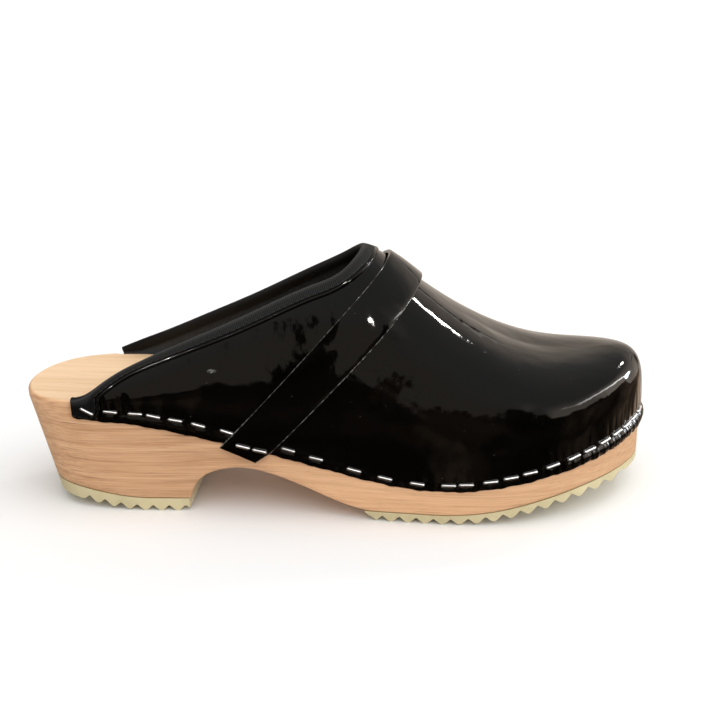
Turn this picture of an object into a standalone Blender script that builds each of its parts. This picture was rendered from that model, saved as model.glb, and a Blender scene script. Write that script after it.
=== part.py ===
"""Right-foot clog: carved wooden sole, stapled leather upper, instep strap and ribbed rubber treads.

Sizes are in millimetres. x runs from the back of the heel to the toe, y from the outer side of the
foot (negative) to the inner side, and z up from the floor. The meshes are made in metres, about the
middle of the clog's length and width.
"""

import math

import bmesh
import bpy
import numpy as np

MM = 0.001
WELD = 1e-6                 # points this close are one, in metres
OUTER, INNER = -1, 1        # the two sides of the foot

# Driving dimensions
LENGTH = 263.0              # wooden sole, back of the heel to the toe
MIDDLE = (132.6, 0.8)       # x and y of the origin, on the floor
GAP = 0.35                  # clearance between pieces
LEATHER = 2.0               # wall of the upper
REBATE = 1.4                # depth of the step in the wood that takes the leather
REBATE_RAMP = 2.6           # the step reaches its depth over this length
REBATE_LEAD = 3.2           # and starts this far behind the leather
RIM_ROUND = 1.8             # rounding of the rim of the foot bed
BAND_RISE = 0.6             # the leather stands straight up to this far above the rim
WING_END = {OUTER: 27.2, INNER: 32.6}     # x of the back edge of the leather
THROAT = 148.5              # x of the front of the opening

# Rubber treads
HEEL_RUBBER = 6.0           # thickness under the heel, ribs included
FOREFOOT_RUBBER = 4.4       # thickness under the forefoot, ribs included
RIB_PITCH = 7.0
RIB_DEPTH = 2.7
RIB_FLAT = 1.3              # width of the flat tip of a rib
HEEL_FRONT = 72.2           # x of the front of the heel
TREAD_BACK = 149.6          # x of the back of the forefoot tread

# The floor line is flat under heel and ball, and lifts behind the heel and under the toe
HEEL_LIFT = 5.0
HEEL_LIFT_FROM, HEEL_LIFT_TO = 56.0, 10.0
TOE_LIFT = 10.6
TOE_LIFT_FROM, TOE_LIFT_TO = 176.0, 258.0

# Instep strap, between two slanted planes across the foot
STRAP_WIDTH = 16.5
STRAP_THICK = 1.7
STRAP_GAP = 0.55            # clearance from the upper, which it follows over the instep
STRAP_FOOT = (99.1, 30.8)   # x and z of the middle of its outer end
STRAP_LEAN = 45.3           # degrees from level, seen from the side
STRAP_OVERHANG = (1.6, 3.2)  # how far its ends hang below the leather, back and front corner

# Folded strip over the collar edge
BINDING_THICK = 0.9
BINDING_FLAP = 5.0
BINDING_GAP = 0.5           # clearance from the leather, which it follows around tight bends

# Staples
WIRE = 0.9
CROWN = 6.0


def columns(names, rows):
    """A table of rows as a dictionary of named columns."""
    return {name: [row[i] for row in rows] for i, name in enumerate(names.split())}


# Plan of the sole: half width either side of a centre line, and how far in the bottom edge lies
PLAN = columns("x half_width centre undercut", [
    (0, 0.0, 0.3, 8.0),
    (12, 25.0, 0.4, 5.6),
    (32, 32.0, 0.5, 3.9),
    (70, 33.2, 0.0, 3.3),
    (105, 34.5, -0.6, 3.0),
    (140, 39.6, -1.0, 2.8),
    (175, 45.8, 0.1, 2.6),
    (200, 48.0, 0.8, 2.4),
    (220, 45.6, 2.0, 2.0),
    (240, 37.2, 3.9, 1.3),
    (254, 24.2, 5.3, 0.7),
    (LENGTH, 0.0, 6.0, 0.4),
])

# Side view of the sole: height of the foot bed's rim, of the leather's lower edge, and depth of the cup
SIDE = columns("x rim edge cup", [
    (0, 50.4, 47.5, 1.5),
    (14, 50.5, 46.3, 2.2),
    (28, 50.3, 43.8, 2.6),
    (50, 49.4, 41.6, 2.6),
    (76, 46.6, 36.4, 1.8),
    (105, 40.4, 29.7, 1.2),
    (140, 32.4, 21.9, 1.6),
    (165, 28.8, 17.4, 2.0),
    (185, 28.1, 16.8, 2.2),
    (210, 29.8, 19.7, 1.8),
    (240, 34.6, 25.0, 1.2),
    (LENGTH, 38.9, 29.4, 0.8),
])

# Arch of the sole from below, from the breast of the heel to the ball
ARCH = columns("x height", [
    (72.4, -4.0),
    (73.4, 7.5),
    (78.4, 15.8),
    (87.0, 20.0),
    (97.0, 21.2),
    (109.0, 18.8),
    (127.0, 11.8),
    (143.0, 5.6),
    (149.6, 4.2),
])

# Sections of the upper: where each meets the ridge, and how square it is (2 is an ellipse)
SECTIONS = columns("x ridge_x ridge_y squareness", [
    (27, 27.0, 0.0, 2.0),
    (90, 90.0, 0.0, 2.0),
    (148.5, 148.5, 0.0, 2.0),
    (180, 179.0, 0.5, 2.1),
    (210, 204.0, 1.8, 2.3),
    (240, 229.0, 3.2, 2.8),
    (LENGTH, 247.0, 4.5, 3.6),
])

# Top line of the last that the upper is formed on
RIDGE = columns("x height", [
    (27, 65.0),
    (50, 70.0),
    (70, 79.5),
    (90, 88.5),
    (115, 98.0),
    (135, 104.3),
    (148.5, 106.2),
    (160, 99.2),
    (175, 86.9),
    (190, 75.6),
    (205, 66.4),
    (220, 61.0),
    (247, 60.0),
])

# Height of the collar edge on each side; the two sides meet on the ridge at the throat
COLLAR = columns("x outer inner", [
    (27, 51.6, 48.8),
    (60, 66.4, 63.2),
    (100, 83.8, 80.8),
    (128, 95.2, 94.4),
    (142, 101.2, 101.6),
    (THROAT, 106.2, 106.2),
])

# Places of the staples along either edge, and how far they stand above it
OUTER_STAPLES = (
    34, 43.5, 54, 61.5, 70.5, 80, 90, 117, 128.5, 144, 156.5, 169.5, 182, 189, 198.5, 206.5, 214,
    223, 231.5, 238, 244.5, 250, 254.5, 258, 261,
)
INNER_STAPLE_RUNS = ((262.8, 117.0, 16), (81.0, 40.0, 5))   # front x, back x and number, evenly spaced
STRAP_STAPLES = (-0.6, 6.4)   # along the edge, from the middle of the strap
STRAP_STAPLE_RISE = 1.8
STAPLE_RISE = columns("x rise", [
    (30, 3.9),
    (90, 5.4),
    (130, 3.6),
    (185, 2.8),
    (215, 3.9),
    (245, 5.2),
    (LENGTH, 6.2),
])


def spline(xs, ys):
    """Natural cubic spline through the points, as a function of x."""
    count = len(xs)
    step = np.diff(xs)
    slope = np.diff(ys) / step
    matrix = np.eye(count)
    right = np.zeros(count)
    for i in range(1, count - 1):
        matrix[i, i - 1:i + 2] = step[i - 1], 2 * (step[i - 1] + step[i]), step[i]
        right[i] = 6 * (slope[i] - slope[i - 1])
    bend = np.linalg.solve(matrix, right)

    def value(x):
        i = int(np.clip(np.searchsorted(xs, x) - 1, 0, count - 2))
        a = (xs[i + 1] - x) / step[i]
        b = (x - xs[i]) / step[i]
        straight = a * ys[i] + b * ys[i + 1]
        return straight + ((a ** 3 - a) * bend[i] + (b ** 3 - b) * bend[i + 1]) * step[i] ** 2 / 6

    return value


def angle_at(x):
    """Station angle: 0 at the back of the heel, pi at the toe."""
    return math.acos(1 - 2 * x / LENGTH)


def station_x(angle):
    return LENGTH * (1 - math.cos(angle)) / 2


half_width = spline([angle_at(x) for x in PLAN["x"]], PLAN["half_width"])
centre = spline(PLAN["x"], PLAN["centre"])
undercut = spline(PLAN["x"], PLAN["undercut"])
rim_height = spline(SIDE["x"], SIDE["rim"])
edge_height = spline(SIDE["x"], SIDE["edge"])
cup_depth = spline(SIDE["x"], SIDE["cup"])
ridge_x = spline(SECTIONS["x"], SECTIONS["ridge_x"])
ridge_y = spline(SECTIONS["x"], SECTIONS["ridge_y"])
squareness = spline(SECTIONS["x"], SECTIONS["squareness"])
ridge_height = spline(RIDGE["x"], RIDGE["height"])
collar_height = {
    OUTER: spline(COLLAR["x"], COLLAR["outer"]),
    INNER: spline(COLLAR["x"], COLLAR["inner"]),
}
staple_rise = spline(STAPLE_RISE["x"], STAPLE_RISE["rise"])


def lifted(x, start, end, height):
    """Smooth lift from nothing at the start to the full height at the end."""
    share = min(max((x - start) / (end - start), 0.0), 1.0)
    return height * (1 - math.cos(share * math.pi)) / 2


def floor_line(x):
    """Height of the rib tips above the floor."""
    heel = lifted(x, HEEL_LIFT_FROM, HEEL_LIFT_TO, HEEL_LIFT)
    return heel + lifted(x, TOE_LIFT_FROM, TOE_LIFT_TO, TOE_LIFT)


def sole_bottom(x):
    """Height of the wood's underside, before the arch is cut."""
    share = min(max((x - HEEL_FRONT) / (TREAD_BACK - HEEL_FRONT), 0.0), 1.0)
    return floor_line(x) + HEEL_RUBBER + share * (FOREFOOT_RUBBER - HEEL_RUBBER)


def outline(angle, side, outward=0.0):
    """Plan point on one side of the sole, moved outward square to the outline."""
    def point(a):
        x = station_x(a)
        return x, centre(x) + side * half_width(a)

    tiny = 1e-4
    x, y = point(angle)
    before = point(angle - tiny)
    after = point(angle + tiny)
    along_x = after[0] - before[0]
    along_y = after[1] - before[1]
    scale = side * outward / math.hypot(along_x, along_y)
    return x - along_y * scale, y + along_x * scale


STAND_OFF = LEATHER + GAP - REBATE    # the leather's outer face, from the outline of the wood


def upper_point(side, angle, v):
    """Point on the outer face of the upper.

    v is -1 at the lower edge, 0 where the wall starts to curve in and 1 on the ridge; past 1 it
    comes down on the other side.
    """
    if v > 1:
        side, v = -side, 2 - v
    station = station_x(angle)
    x, y = outline(angle, side, STAND_OFF)
    start = rim_height(station) + BAND_RISE
    if v <= 0:
        return np.array((x, y, start + v * (start - edge_height(station))))
    top_x, top_y = ridge_x(station), ridge_y(station)
    power = squareness(station)
    c, s = math.cos(v * math.pi / 2), math.sin(v * math.pi / 2)
    reach = (max(c, 0.0) ** power + s ** power) ** (-1 / power)
    across, up = c * reach, s * reach
    rise = ridge_height(top_x) - start
    return np.array((top_x + (x - top_x) * across, top_y + (y - top_y) * across, start + rise * up))


def upper_slopes(side, angle, v):
    """The two directions along the upper at a point."""
    tiny = 1e-4
    along = upper_point(side, angle + tiny, v) - upper_point(side, angle - tiny, v)
    up = upper_point(side, angle, v + tiny) - upper_point(side, angle, v - tiny)
    return along / (2 * tiny), up / (2 * tiny)


def upper_normal(side, angle, v):
    """Outward direction of the upper at a point."""
    along, up = upper_slopes(side, angle, v)
    normal = -side * np.cross(along, up)
    return normal / np.linalg.norm(normal)


def collar_v(side, angle):
    """v of the collar edge behind the throat, and of the ridge in front of it."""
    station = station_x(angle)
    if station >= THROAT:
        return 1.0
    start = rim_height(station) + BAND_RISE
    share = (collar_height[side](station) - start) / (ridge_height(ridge_x(station)) - start)
    power = squareness(station)
    return math.atan2(1.0, (share ** -power - 1) ** (1 / power)) / (math.pi / 2)


def place(point):
    """A point in metres, about the origin."""
    return (point[0] - MIDDLE[0]) * MM, (point[1] - MIDDLE[1]) * MM, point[2] * MM


def mesh_object(name, builder, collection):
    """New object whose mesh is filled in by a function of a bmesh."""
    bm = bmesh.new()
    builder(bm)
    bmesh.ops.remove_doubles(bm, verts=bm.verts, dist=WELD)
    bmesh.ops.recalc_face_normals(bm, faces=bm.faces)
    mesh = bpy.data.meshes.new(name)
    bm.to_mesh(mesh)
    bm.free()
    piece = bpy.data.objects.new(name, mesh)
    collection.objects.link(piece)
    return piece


def add_grid(bm, rows, closed=False):
    """Faces between neighbouring rows of points; a closed row joins its end to its start."""
    made = [[bm.verts.new(place(point)) for point in row] for row in rows]
    count = len(made[0])
    for lower, upper in zip(made, made[1:]):
        for i in range(count if closed else count - 1):
            j = (i + 1) % count
            bm.faces.new((lower[i], lower[j], upper[j], upper[i]))
    return made


def add_prism(bm, profile, reach):
    """Solid from a side-view outline, run across the width by the reach to each side."""
    near = [bm.verts.new(place((x, -reach, z))) for x, z in profile]
    run = bmesh.ops.extrude_face_region(bm, geom=[bm.faces.new(near)])
    moved = [item for item in run["geom"] if isinstance(item, bmesh.types.BMVert)]
    bmesh.ops.translate(bm, verts=moved, vec=(0, 2 * reach * MM, 0))


def smooth(piece, sharp_angle):
    piece.data.shade_smooth()
    piece.data.set_sharp_from_angle(angle=math.radians(sharp_angle))


def material(name, colour, roughness, metallic=0.0, coat=0.0):
    made = bpy.data.materials.new(name)
    made.use_nodes = True
    shader = made.node_tree.nodes["Principled BSDF"]
    shader.inputs["Base Color"].default_value = (*colour, 1.0)
    shader.inputs["Roughness"].default_value = roughness
    shader.inputs["Metallic"].default_value = metallic
    shader.inputs["Coat Weight"].default_value = coat
    return made


def boolean(piece, cutter, operation):
    """Cut or trim a piece; the cutter stays as a hidden guide."""
    cutter.hide_render = True
    cutter.display_type = "WIRE"
    modifier = piece.modifiers.new(operation.title(), "BOOLEAN")
    modifier.operation = operation
    modifier.solver = "EXACT"
    modifier.object = cutter


def add_wall(piece, thickness):
    """Give an open sheet its wall, on the inner side."""
    modifier = piece.modifiers.new("Wall", "SOLIDIFY")
    modifier.thickness = thickness * MM
    modifier.offset = -1
    modifier.use_even_offset = True
    modifier.use_quality_normals = True


for old in list(bpy.data.objects):
    bpy.data.objects.remove(old)
parts = bpy.data.collections.new("clog")
cutters = bpy.data.collections.new("cutters")
for collection in (parts, cutters):
    bpy.context.scene.collection.children.link(collection)

# Stations along the clog, shared by sole and upper so that their facets run side by side
HEEL_STATIONS = 7
WING_STATIONS = 18
VAMP_STATIONS = 20
WING_CROWDING = 0.75        # stations of the wings draw together towards both ends

vamp_span = math.pi - angle_at(THROAT)
vamp_angles = [angle_at(THROAT) + vamp_span * i / VAMP_STATIONS for i in range(VAMP_STATIONS + 1)]


def wing_angles(side):
    span = THROAT - WING_END[side]
    shares = [i / WING_STATIONS for i in range(WING_STATIONS)]
    turn = 2 * math.pi
    eased = [share - WING_CROWDING * math.sin(turn * share) / turn for share in shares]
    return [angle_at(WING_END[side] + span * share) for share in eased]


def rebate_start(side):
    return WING_END[side] - REBATE_LEAD


heel_span = angle_at(rebate_start(OUTER))
heel_angles = [heel_span * i / HEEL_STATIONS for i in range(HEEL_STATIONS + 1)]
rebate_angles = [angle_at(rebate_start(OUTER) + REBATE_RAMP)]
rebate_angles += [angle_at(rebate_start(INNER) + share * REBATE_RAMP) for share in (0, 1)]
sole_angles = sorted(heel_angles + rebate_angles + wing_angles(OUTER)[1:] + vamp_angles)


# Wooden sole: rings from the middle of the underside, out around the edge and in over the foot bed
def around(level):
    """Closed ring of points around the sole, from a function of station angle and side."""
    outer = [level(angle, OUTER) for angle in sole_angles]
    inner = [level(angle, INNER) for angle in sole_angles[-2:0:-1]]
    return outer + inner


def inward(point, angle, inset, share):
    """Plan point a share of the way from the edge to the middle line, whose ends lie in by an inset."""
    middle_x = station_x(angle) + inset * math.cos(angle)
    middle_y = centre(station_x(angle))
    return point[0] + (middle_x - point[0]) * share, point[1] + (middle_y - point[1]) * share


def rebate_depth(x, side):
    share = (x - rebate_start(side)) / REBATE_RAMP
    return REBATE * min(max(share, 0.0), 1.0)


def under_ring(lift, share):
    """Ring at the height of the underside; the side of the wood leans in towards it."""
    def level(angle, side):
        x = station_x(angle)
        height = sole_bottom(x) + lift
        lean = (edge_height(x) - height) / (edge_height(x) - sole_bottom(x))
        edge = outline(angle, side, -undercut(x) * lean)
        return (*inward(edge, angle, undercut(x) * lean, share), height)
    return around(level)


def edge_ring(lift, sunk):
    """Ring at the leather's edge; sunk is the share of the rebate's depth."""
    def level(angle, side):
        x = station_x(angle)
        return (*outline(angle, side, -rebate_depth(x, side) * sunk), edge_height(x) - GAP + lift)
    return around(level)


def rim_ring(turn):
    """Ring on the rounded rim: turn runs from 0 on the side to 1 on top."""
    def level(angle, side):
        x = station_x(angle)
        inset = rebate_depth(x, side) + RIM_ROUND * (1 - math.cos(turn * math.pi / 2))
        drop = RIM_ROUND * (1 - math.sin(turn * math.pi / 2))
        return (*outline(angle, side, -inset), rim_height(x) - drop)
    return around(level)


def bed_ring(share):
    """Ring on the cupped foot bed."""
    def level(angle, side):
        x = station_x(angle)
        rim = outline(angle, side, -rebate_depth(x, side) - RIM_ROUND)
        sag = cup_depth(x) * (1 - (1 - share) ** 2) * math.sin(angle)
        return (*inward(rim, angle, RIM_ROUND, share), rim_height(x) - sag)
    return around(level)


REBATE_FLOOR_RISE = 0.3     # the step's floor rises a little towards the wood


def build_sole(bm):
    rings = [under_ring(0.0, 1.0), under_ring(0.0, 0.0)]
    rings += [edge_ring(0.0, 0.0), edge_ring(REBATE_FLOOR_RISE, 1.0)]
    rings += [rim_ring(turn) for turn in (0.0, 0.5, 1.0)]
    rings += [bed_ring(share) for share in (0.25, 0.6, 1.0)]
    add_grid(bm, rings, closed=True)


sole = mesh_object("wooden_sole", build_sole, parts)
sole.data.materials.append(material("wood", (0.72, 0.47, 0.28), 0.6))

# Arch: the space below the waist of the sole, cut right across
ARCH_STEPS = 22
CUT_REACH = 70.0            # cutters run this far to each side
CUT_FLOOR = -6.0            # and start this far below the floor


def build_arch(bm):
    lengths = [0.0]
    for i in range(1, len(ARCH["x"])):
        rise = ARCH["height"][i] - ARCH["height"][i - 1]
        lengths.append(lengths[-1] + math.hypot(ARCH["x"][i] - ARCH["x"][i - 1], rise))
    curve_x = spline(lengths, ARCH["x"])
    curve_z = spline(lengths, ARCH["height"])
    steps = [lengths[-1] * i / ARCH_STEPS for i in range(ARCH_STEPS + 1)]
    top = [(curve_x(s), curve_z(s)) for s in steps]
    add_prism(bm, [(top[0][0], CUT_FLOOR)] + top + [(top[-1][0], CUT_FLOOR)], CUT_REACH)


boolean(sole, mesh_object("arch_cutter", build_arch, cutters), "DIFFERENCE")
smooth(sole, 35)

# Rubber treads: ribbed sheets, trimmed to the sides of the sole, which go on leaning in
TRIM_ABOVE = 3.0
TRIM_BELOW = 8.0
HEEL_TIPS = [31.8 + RIB_PITCH * i for i in range(6)]
FOREFOOT_TIPS = [158.0 + RIB_PITCH * i for i in range(14)]
HEEL_TREAD_BACK = 4.0       # both sheets start and end beyond the wood and are trimmed to it
TOE_END = LENGTH + 4.0
LIP_DROP = 1.3              # the plain lips at the ends stand off the floor line by this
HEEL_LIP_DROP = 0.9


def ribbed_profile(ends, tips, rubber, drops):
    """Side view of a tread: plain ends, ribs between them and a smooth top below the wood."""
    start, end = ends
    flank = (RIB_PITCH - RIB_FLAT) / 2
    points = [(start, drops[0]), (tips[0] - RIB_PITCH / 2 - flank, drops[0])]
    for tip in tips:
        points.append((tip - RIB_PITCH / 2, RIB_DEPTH))
        points.append((tip - RIB_FLAT / 2, 0.0))
        points.append((tip + RIB_FLAT / 2, 0.0))
    points.append((tips[-1] + RIB_PITCH / 2, RIB_DEPTH))
    points.append((min(tips[-1] + RIB_PITCH / 2 + flank, end - RIB_FLAT), drops[1]))
    points.append((end, drops[1]))
    bottom = [(x, floor_line(x) + drop) for x, drop in points]
    steps = round((end - start) / RIB_PITCH)
    top = [end + (start - end) * i / steps for i in range(steps + 1)]
    return bottom + [(x, floor_line(x) + rubber - GAP) for x in top]


def build_trim(bm):
    rings = [under_ring(-TRIM_BELOW, 1.0), under_ring(-TRIM_BELOW, 0.0)]
    rings += [under_ring(TRIM_ABOVE, 0.0), under_ring(TRIM_ABOVE, 1.0)]
    add_grid(bm, rings, closed=True)


def tread(name, ends, tips, rubber, drops):
    profile = ribbed_profile(ends, tips, rubber, drops)
    piece = mesh_object(name, lambda bm: add_prism(bm, profile, CUT_REACH), parts)
    piece.data.materials.append(rubber_material)
    boolean(piece, mesh_object(name + "_trim", build_trim, cutters), "INTERSECT")


rubber_material = material("rubber", (0.70, 0.66, 0.42), 0.55)
tread("heel_tread", (HEEL_TREAD_BACK, HEEL_FRONT), HEEL_TIPS, HEEL_RUBBER, (0.0, HEEL_LIP_DROP))
tread("forefoot_tread", (TREAD_BACK, TOE_END), FOREFOOT_TIPS, FOREFOOT_RUBBER, (0.0, LIP_DROP))

# Upper: an open sheet on each side, joined along the ridge and around the toe
BAND_STEPS = 2
CURVE_STEPS = 10


def upper_row(side, angle):
    band = [upper_point(side, angle, -1 + i / BAND_STEPS) for i in range(BAND_STEPS)]
    top = collar_v(side, angle)
    return band + [upper_point(side, angle, top * i / CURVE_STEPS) for i in range(CURVE_STEPS + 1)]


def build_upper(bm):
    for side in (OUTER, INNER):
        add_grid(bm, [upper_row(side, angle) for angle in wing_angles(side) + vamp_angles])


leather_material = material("patent_leather", (0.012, 0.012, 0.013), 0.12, coat=1.0)
upper = mesh_object("upper", build_upper, parts)
upper.data.materials.append(leather_material)
add_wall(upper, LEATHER)
smooth(upper, 60)

# Instep strap: a strip of the upper's own surface between two slanted planes, lifted off it
STRAP_COLUMNS = 6
STRAP_STEPS = 12
SEARCH_FROM, SEARCH_TO = 60.0, 210.0
SEARCH_HALVINGS = 40


def strap_offset(point):
    """Distance from the strap's middle plane."""
    lean = math.radians(STRAP_LEAN)
    return (point[0] - STRAP_FOOT[0]) * math.sin(lean) - (point[2] - STRAP_FOOT[1]) * math.cos(lean)


def strap_angle(side, v, offset):
    """Station angle where a line of the upper crosses the plane at this offset."""
    low, high = angle_at(SEARCH_FROM), angle_at(SEARCH_TO)
    for _ in range(SEARCH_HALVINGS):
        middle = (low + high) / 2
        if strap_offset(upper_point(side, middle, v)) < offset:
            low = middle
        else:
            high = middle
    return (low + high) / 2


def strap_end_v(side, offset):
    """v of the strap's end, which hangs a little below the leather."""
    station = station_x(strap_angle(side, -1.0, offset))
    share = offset / STRAP_WIDTH + 0.5
    overhang = STRAP_OVERHANG[0] + share * (STRAP_OVERHANG[1] - STRAP_OVERHANG[0])
    return -1 - overhang / (rim_height(station) + BAND_RISE - edge_height(station))


def strap_line(offset):
    """Points along the strap, over the instep from the outer end to the inner end."""
    line = []
    for side in (OUTER, INNER):
        vs = [strap_end_v(side, offset), -1.0, -0.5] + [i / STRAP_STEPS for i in range(STRAP_STEPS)]
        if side == OUTER:
            vs.append(1.0)
        half = []
        for v in vs:
            angle = strap_angle(side, v, offset)
            lift = STRAP_GAP + STRAP_THICK
            half.append(upper_point(side, angle, v) + upper_normal(side, angle, v) * lift)
        line += half if side == OUTER else half[::-1]
    return line


def build_strap(bm):
    offsets = [STRAP_WIDTH * (i / STRAP_COLUMNS - 0.5) for i in range(STRAP_COLUMNS + 1)]
    add_grid(bm, [strap_line(offset) for offset in offsets])


strap = mesh_object("instep_strap", build_strap, parts)
strap.data.materials.append(leather_material)
add_wall(strap, STRAP_THICK)
smooth(strap, 60)

# Collar binding: a strip folded over the edge, from the outer wing around the throat to the inner
BINDING_ARC = (45, 90, 135)  # degrees around the fold
BINDING_MARGIN = 0.9        # the inner flap stays this far above the rim of the wood
BINDING_SHORTEST = 0.3
BINDING_SAG = 0.3           # the inner flap hangs this much further off the leather
FOLLOW_ROUNDS = 4


def collar_point(side, angle):
    return upper_point(side, angle, collar_v(side, angle))


def collar_direction(side, angle):
    """Direction along the collar, from the outer wing over the throat to the inner wing."""
    if station_x(angle) >= THROAT:
        return np.array((0.0, 1.0, 0.0))
    tiny = min(1e-4, (angle_at(THROAT) - angle) / 2)
    step = collar_point(side, angle + tiny) - collar_point(side, angle - tiny)
    return -side * step / np.linalg.norm(step)


def follow(side, angle, v, target):
    """Place on the upper nearest to a point close by."""
    for _ in range(FOLLOW_ROUNDS):
        slopes = np.stack(upper_slopes(side, angle, v), axis=1)
        step = np.linalg.lstsq(slopes, target - upper_point(side, angle, v), rcond=None)[0]
        angle, v = angle + step[0], v + step[1]
    return angle, v


def binding_section(side, angle):
    """Closed outline of the folded strip at one place on the collar."""
    v = collar_v(side, angle)
    edge = upper_point(side, angle, v)
    normal = upper_normal(side, angle, v)
    down = np.cross(collar_direction(side, angle), normal)
    room = edge[2] - rim_height(station_x(angle)) - BINDING_MARGIN
    inner_flap = min(max(room, BINDING_SHORTEST), BINDING_FLAP)

    def flap(length, lift):
        at = follow(side, angle, v, edge + down * length)
        return upper_point(side, *at) + upper_normal(side, *at) * lift

    def layer(depth):
        middle = edge - normal * LEATHER / 2
        radius = LEATHER / 2 + depth
        arc = []
        for degrees in (0, *BINDING_ARC, 180):
            turn = math.radians(degrees)
            arc.append(middle + radius * (normal * math.cos(turn) - down * math.sin(turn)))
        outside = [flap(BINDING_FLAP * share, depth) for share in (1.0, 0.5)]
        inside = [flap(inner_flap * share, -LEATHER - depth - BINDING_SAG * share) for share in (0.5, 1.0)]
        return outside + arc + inside

    return layer(BINDING_GAP + BINDING_THICK) + layer(BINDING_GAP)[::-1]


def build_binding(bm):
    sections = [binding_section(OUTER, angle) for angle in wing_angles(OUTER)]
    sections.append(binding_section(OUTER, angle_at(THROAT)))
    sections += [binding_section(INNER, angle) for angle in reversed(wing_angles(INNER))]
    rings = add_grid(bm, sections, closed=True)
    for ring in (rings[0], rings[-1]):
        for i in range(len(ring) // 2 - 1):
            bm.faces.new((ring[i], ring[i + 1], ring[-i - 2], ring[-i - 1]))


binding = mesh_object("collar_binding", build_binding, parts)
binding.data.materials.append(material("binding", (0.02, 0.02, 0.022), 0.55))
smooth(binding, 50)

# Staples: short wires along the leather's lower edge
WIRE_SIDES = 1              # bevel resolution
EDGE_STEPS = 200            # for adding up lengths along the edge


def edge_speed(side, angle):
    """Length along the leather's lower edge for each radian of station angle."""
    tiny = 1e-3
    behind = outline(angle - tiny, side, STAND_OFF)
    ahead = outline(angle + tiny, side, STAND_OFF)
    return math.dist(behind, ahead) / (2 * tiny)


def along_edge(side, angle, distance):
    """Station angle at a distance along the edge, towards the toe."""
    steps = math.ceil(abs(distance))
    for _ in range(steps):
        angle += distance / steps / edge_speed(side, angle)
    return angle


def edge_length(side, start, end):
    """Length along the edge between two station angles."""
    step = (end - start) / EDGE_STEPS
    return sum(edge_speed(side, start + step * (i + 0.5)) * step for i in range(EDGE_STEPS))


def staple(name, side, angle, lift, rise):
    """One wire, lying along the edge at a lift from the leather's face."""
    data = bpy.data.curves.new(name, "CURVE")
    data.dimensions = "3D"
    data.bevel_depth = WIRE / 2 * MM
    data.bevel_resolution = WIRE_SIDES
    data.use_fill_caps = True
    line = data.splines.new("POLY")
    line.points.add(1)
    for point, reach in zip(line.points, (-CROWN / 2, CROWN / 2)):
        at = along_edge(side, angle, reach)
        x = station_x(at)
        spot = (*outline(at, side, STAND_OFF + lift + WIRE / 2), edge_height(x) + rise)
        point.co = (*place(spot), 1.0)
    data.materials.append(steel)
    parts.objects.link(bpy.data.objects.new(name, data))


steel = material("steel", (0.75, 0.75, 0.76), 0.3, metallic=1.0)
for number, x in enumerate(OUTER_STAPLES, 1):
    staple(f"staple_outer_{number:02d}", OUTER, angle_at(x), GAP, staple_rise(x))

inner_count = 0
for front, back, count in INNER_STAPLE_RUNS:
    run = edge_length(INNER, angle_at(back), angle_at(front))
    angle = angle_at(front)
    for _ in range(count):
        inner_count += 1
        staple(f"staple_inner_{inner_count:02d}", INNER, angle, GAP, staple_rise(station_x(angle)))
        angle = along_edge(INNER, angle, -run / (count - 1))

for side, side_name in ((OUTER, "outer"), (INNER, "inner")):
    middle = strap_angle(side, -1.0, 0.0)
    for number, distance in enumerate(STRAP_STAPLES, 1):
        angle = along_edge(side, middle, distance)
        name = f"staple_strap_{side_name}_{number}"
        staple(name, side, angle, STRAP_GAP + STRAP_THICK + GAP, STRAP_STAPLE_RISE)
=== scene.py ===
"""Looks of a right-foot clog: carved wooden sole, patent leather upper, instep strap and rubber treads.

Sizes are in millimetres, as a maker would give them. x runs from the back of the heel to the toe, y from the
outer side of the foot (negative) to the inner side, and z up from the floor. The meshes are in metres.
"""

import math

import bmesh
import bpy
import numpy as np
from mathutils import Matrix, Vector


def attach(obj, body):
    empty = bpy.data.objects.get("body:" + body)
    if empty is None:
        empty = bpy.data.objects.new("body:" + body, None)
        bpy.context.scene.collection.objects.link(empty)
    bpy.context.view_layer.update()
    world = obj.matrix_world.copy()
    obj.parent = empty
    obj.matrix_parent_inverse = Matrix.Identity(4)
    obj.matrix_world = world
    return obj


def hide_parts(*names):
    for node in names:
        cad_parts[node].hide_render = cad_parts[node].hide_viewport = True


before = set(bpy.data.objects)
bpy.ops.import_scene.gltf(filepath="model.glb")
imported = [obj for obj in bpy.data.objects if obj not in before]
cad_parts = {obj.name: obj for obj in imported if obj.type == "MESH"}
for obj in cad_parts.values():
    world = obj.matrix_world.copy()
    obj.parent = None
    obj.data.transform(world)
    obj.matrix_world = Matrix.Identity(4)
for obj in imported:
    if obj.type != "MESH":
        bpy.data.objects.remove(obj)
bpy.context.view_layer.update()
MM = 0.001
MIDDLE = np.array((132.6, 0.8, 0.0))    # the frame's origin, on the floor

# Camera
# It stands on the outer side of the clog, a little towards the toe and above it, and is held with a
# slight roll.
LOOK_AT = (144.5, 0.0, 56.4)
CAMERA_DISTANCE = 520.0
CAMERA_AZIMUTH, CAMERA_ELEVATION, CAMERA_ROLL = 5.0, 19.4, -2.4    # degrees
PHOTO_SIDE = 720        # pixels
FOCAL_LENGTH = 1218     # pixels


def towards(azimuth, elevation):
    """Direction from the clog; azimuth 0 is the outer side and 90 the toe."""
    turn, rise = math.radians(azimuth), math.radians(elevation)
    return Vector((math.sin(turn) * math.cos(rise), -math.cos(turn) * math.cos(rise), math.sin(rise)))


def in_frame(points):
    """Points in millimetres from heel and floor, as metres in the frame."""
    return (np.asarray(points, float) - MIDDLE) * MM


def add_object(name, data):
    """New object in the scene."""
    made = bpy.data.objects.new(name, data)
    bpy.context.scene.collection.objects.link(made)
    return made


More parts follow.
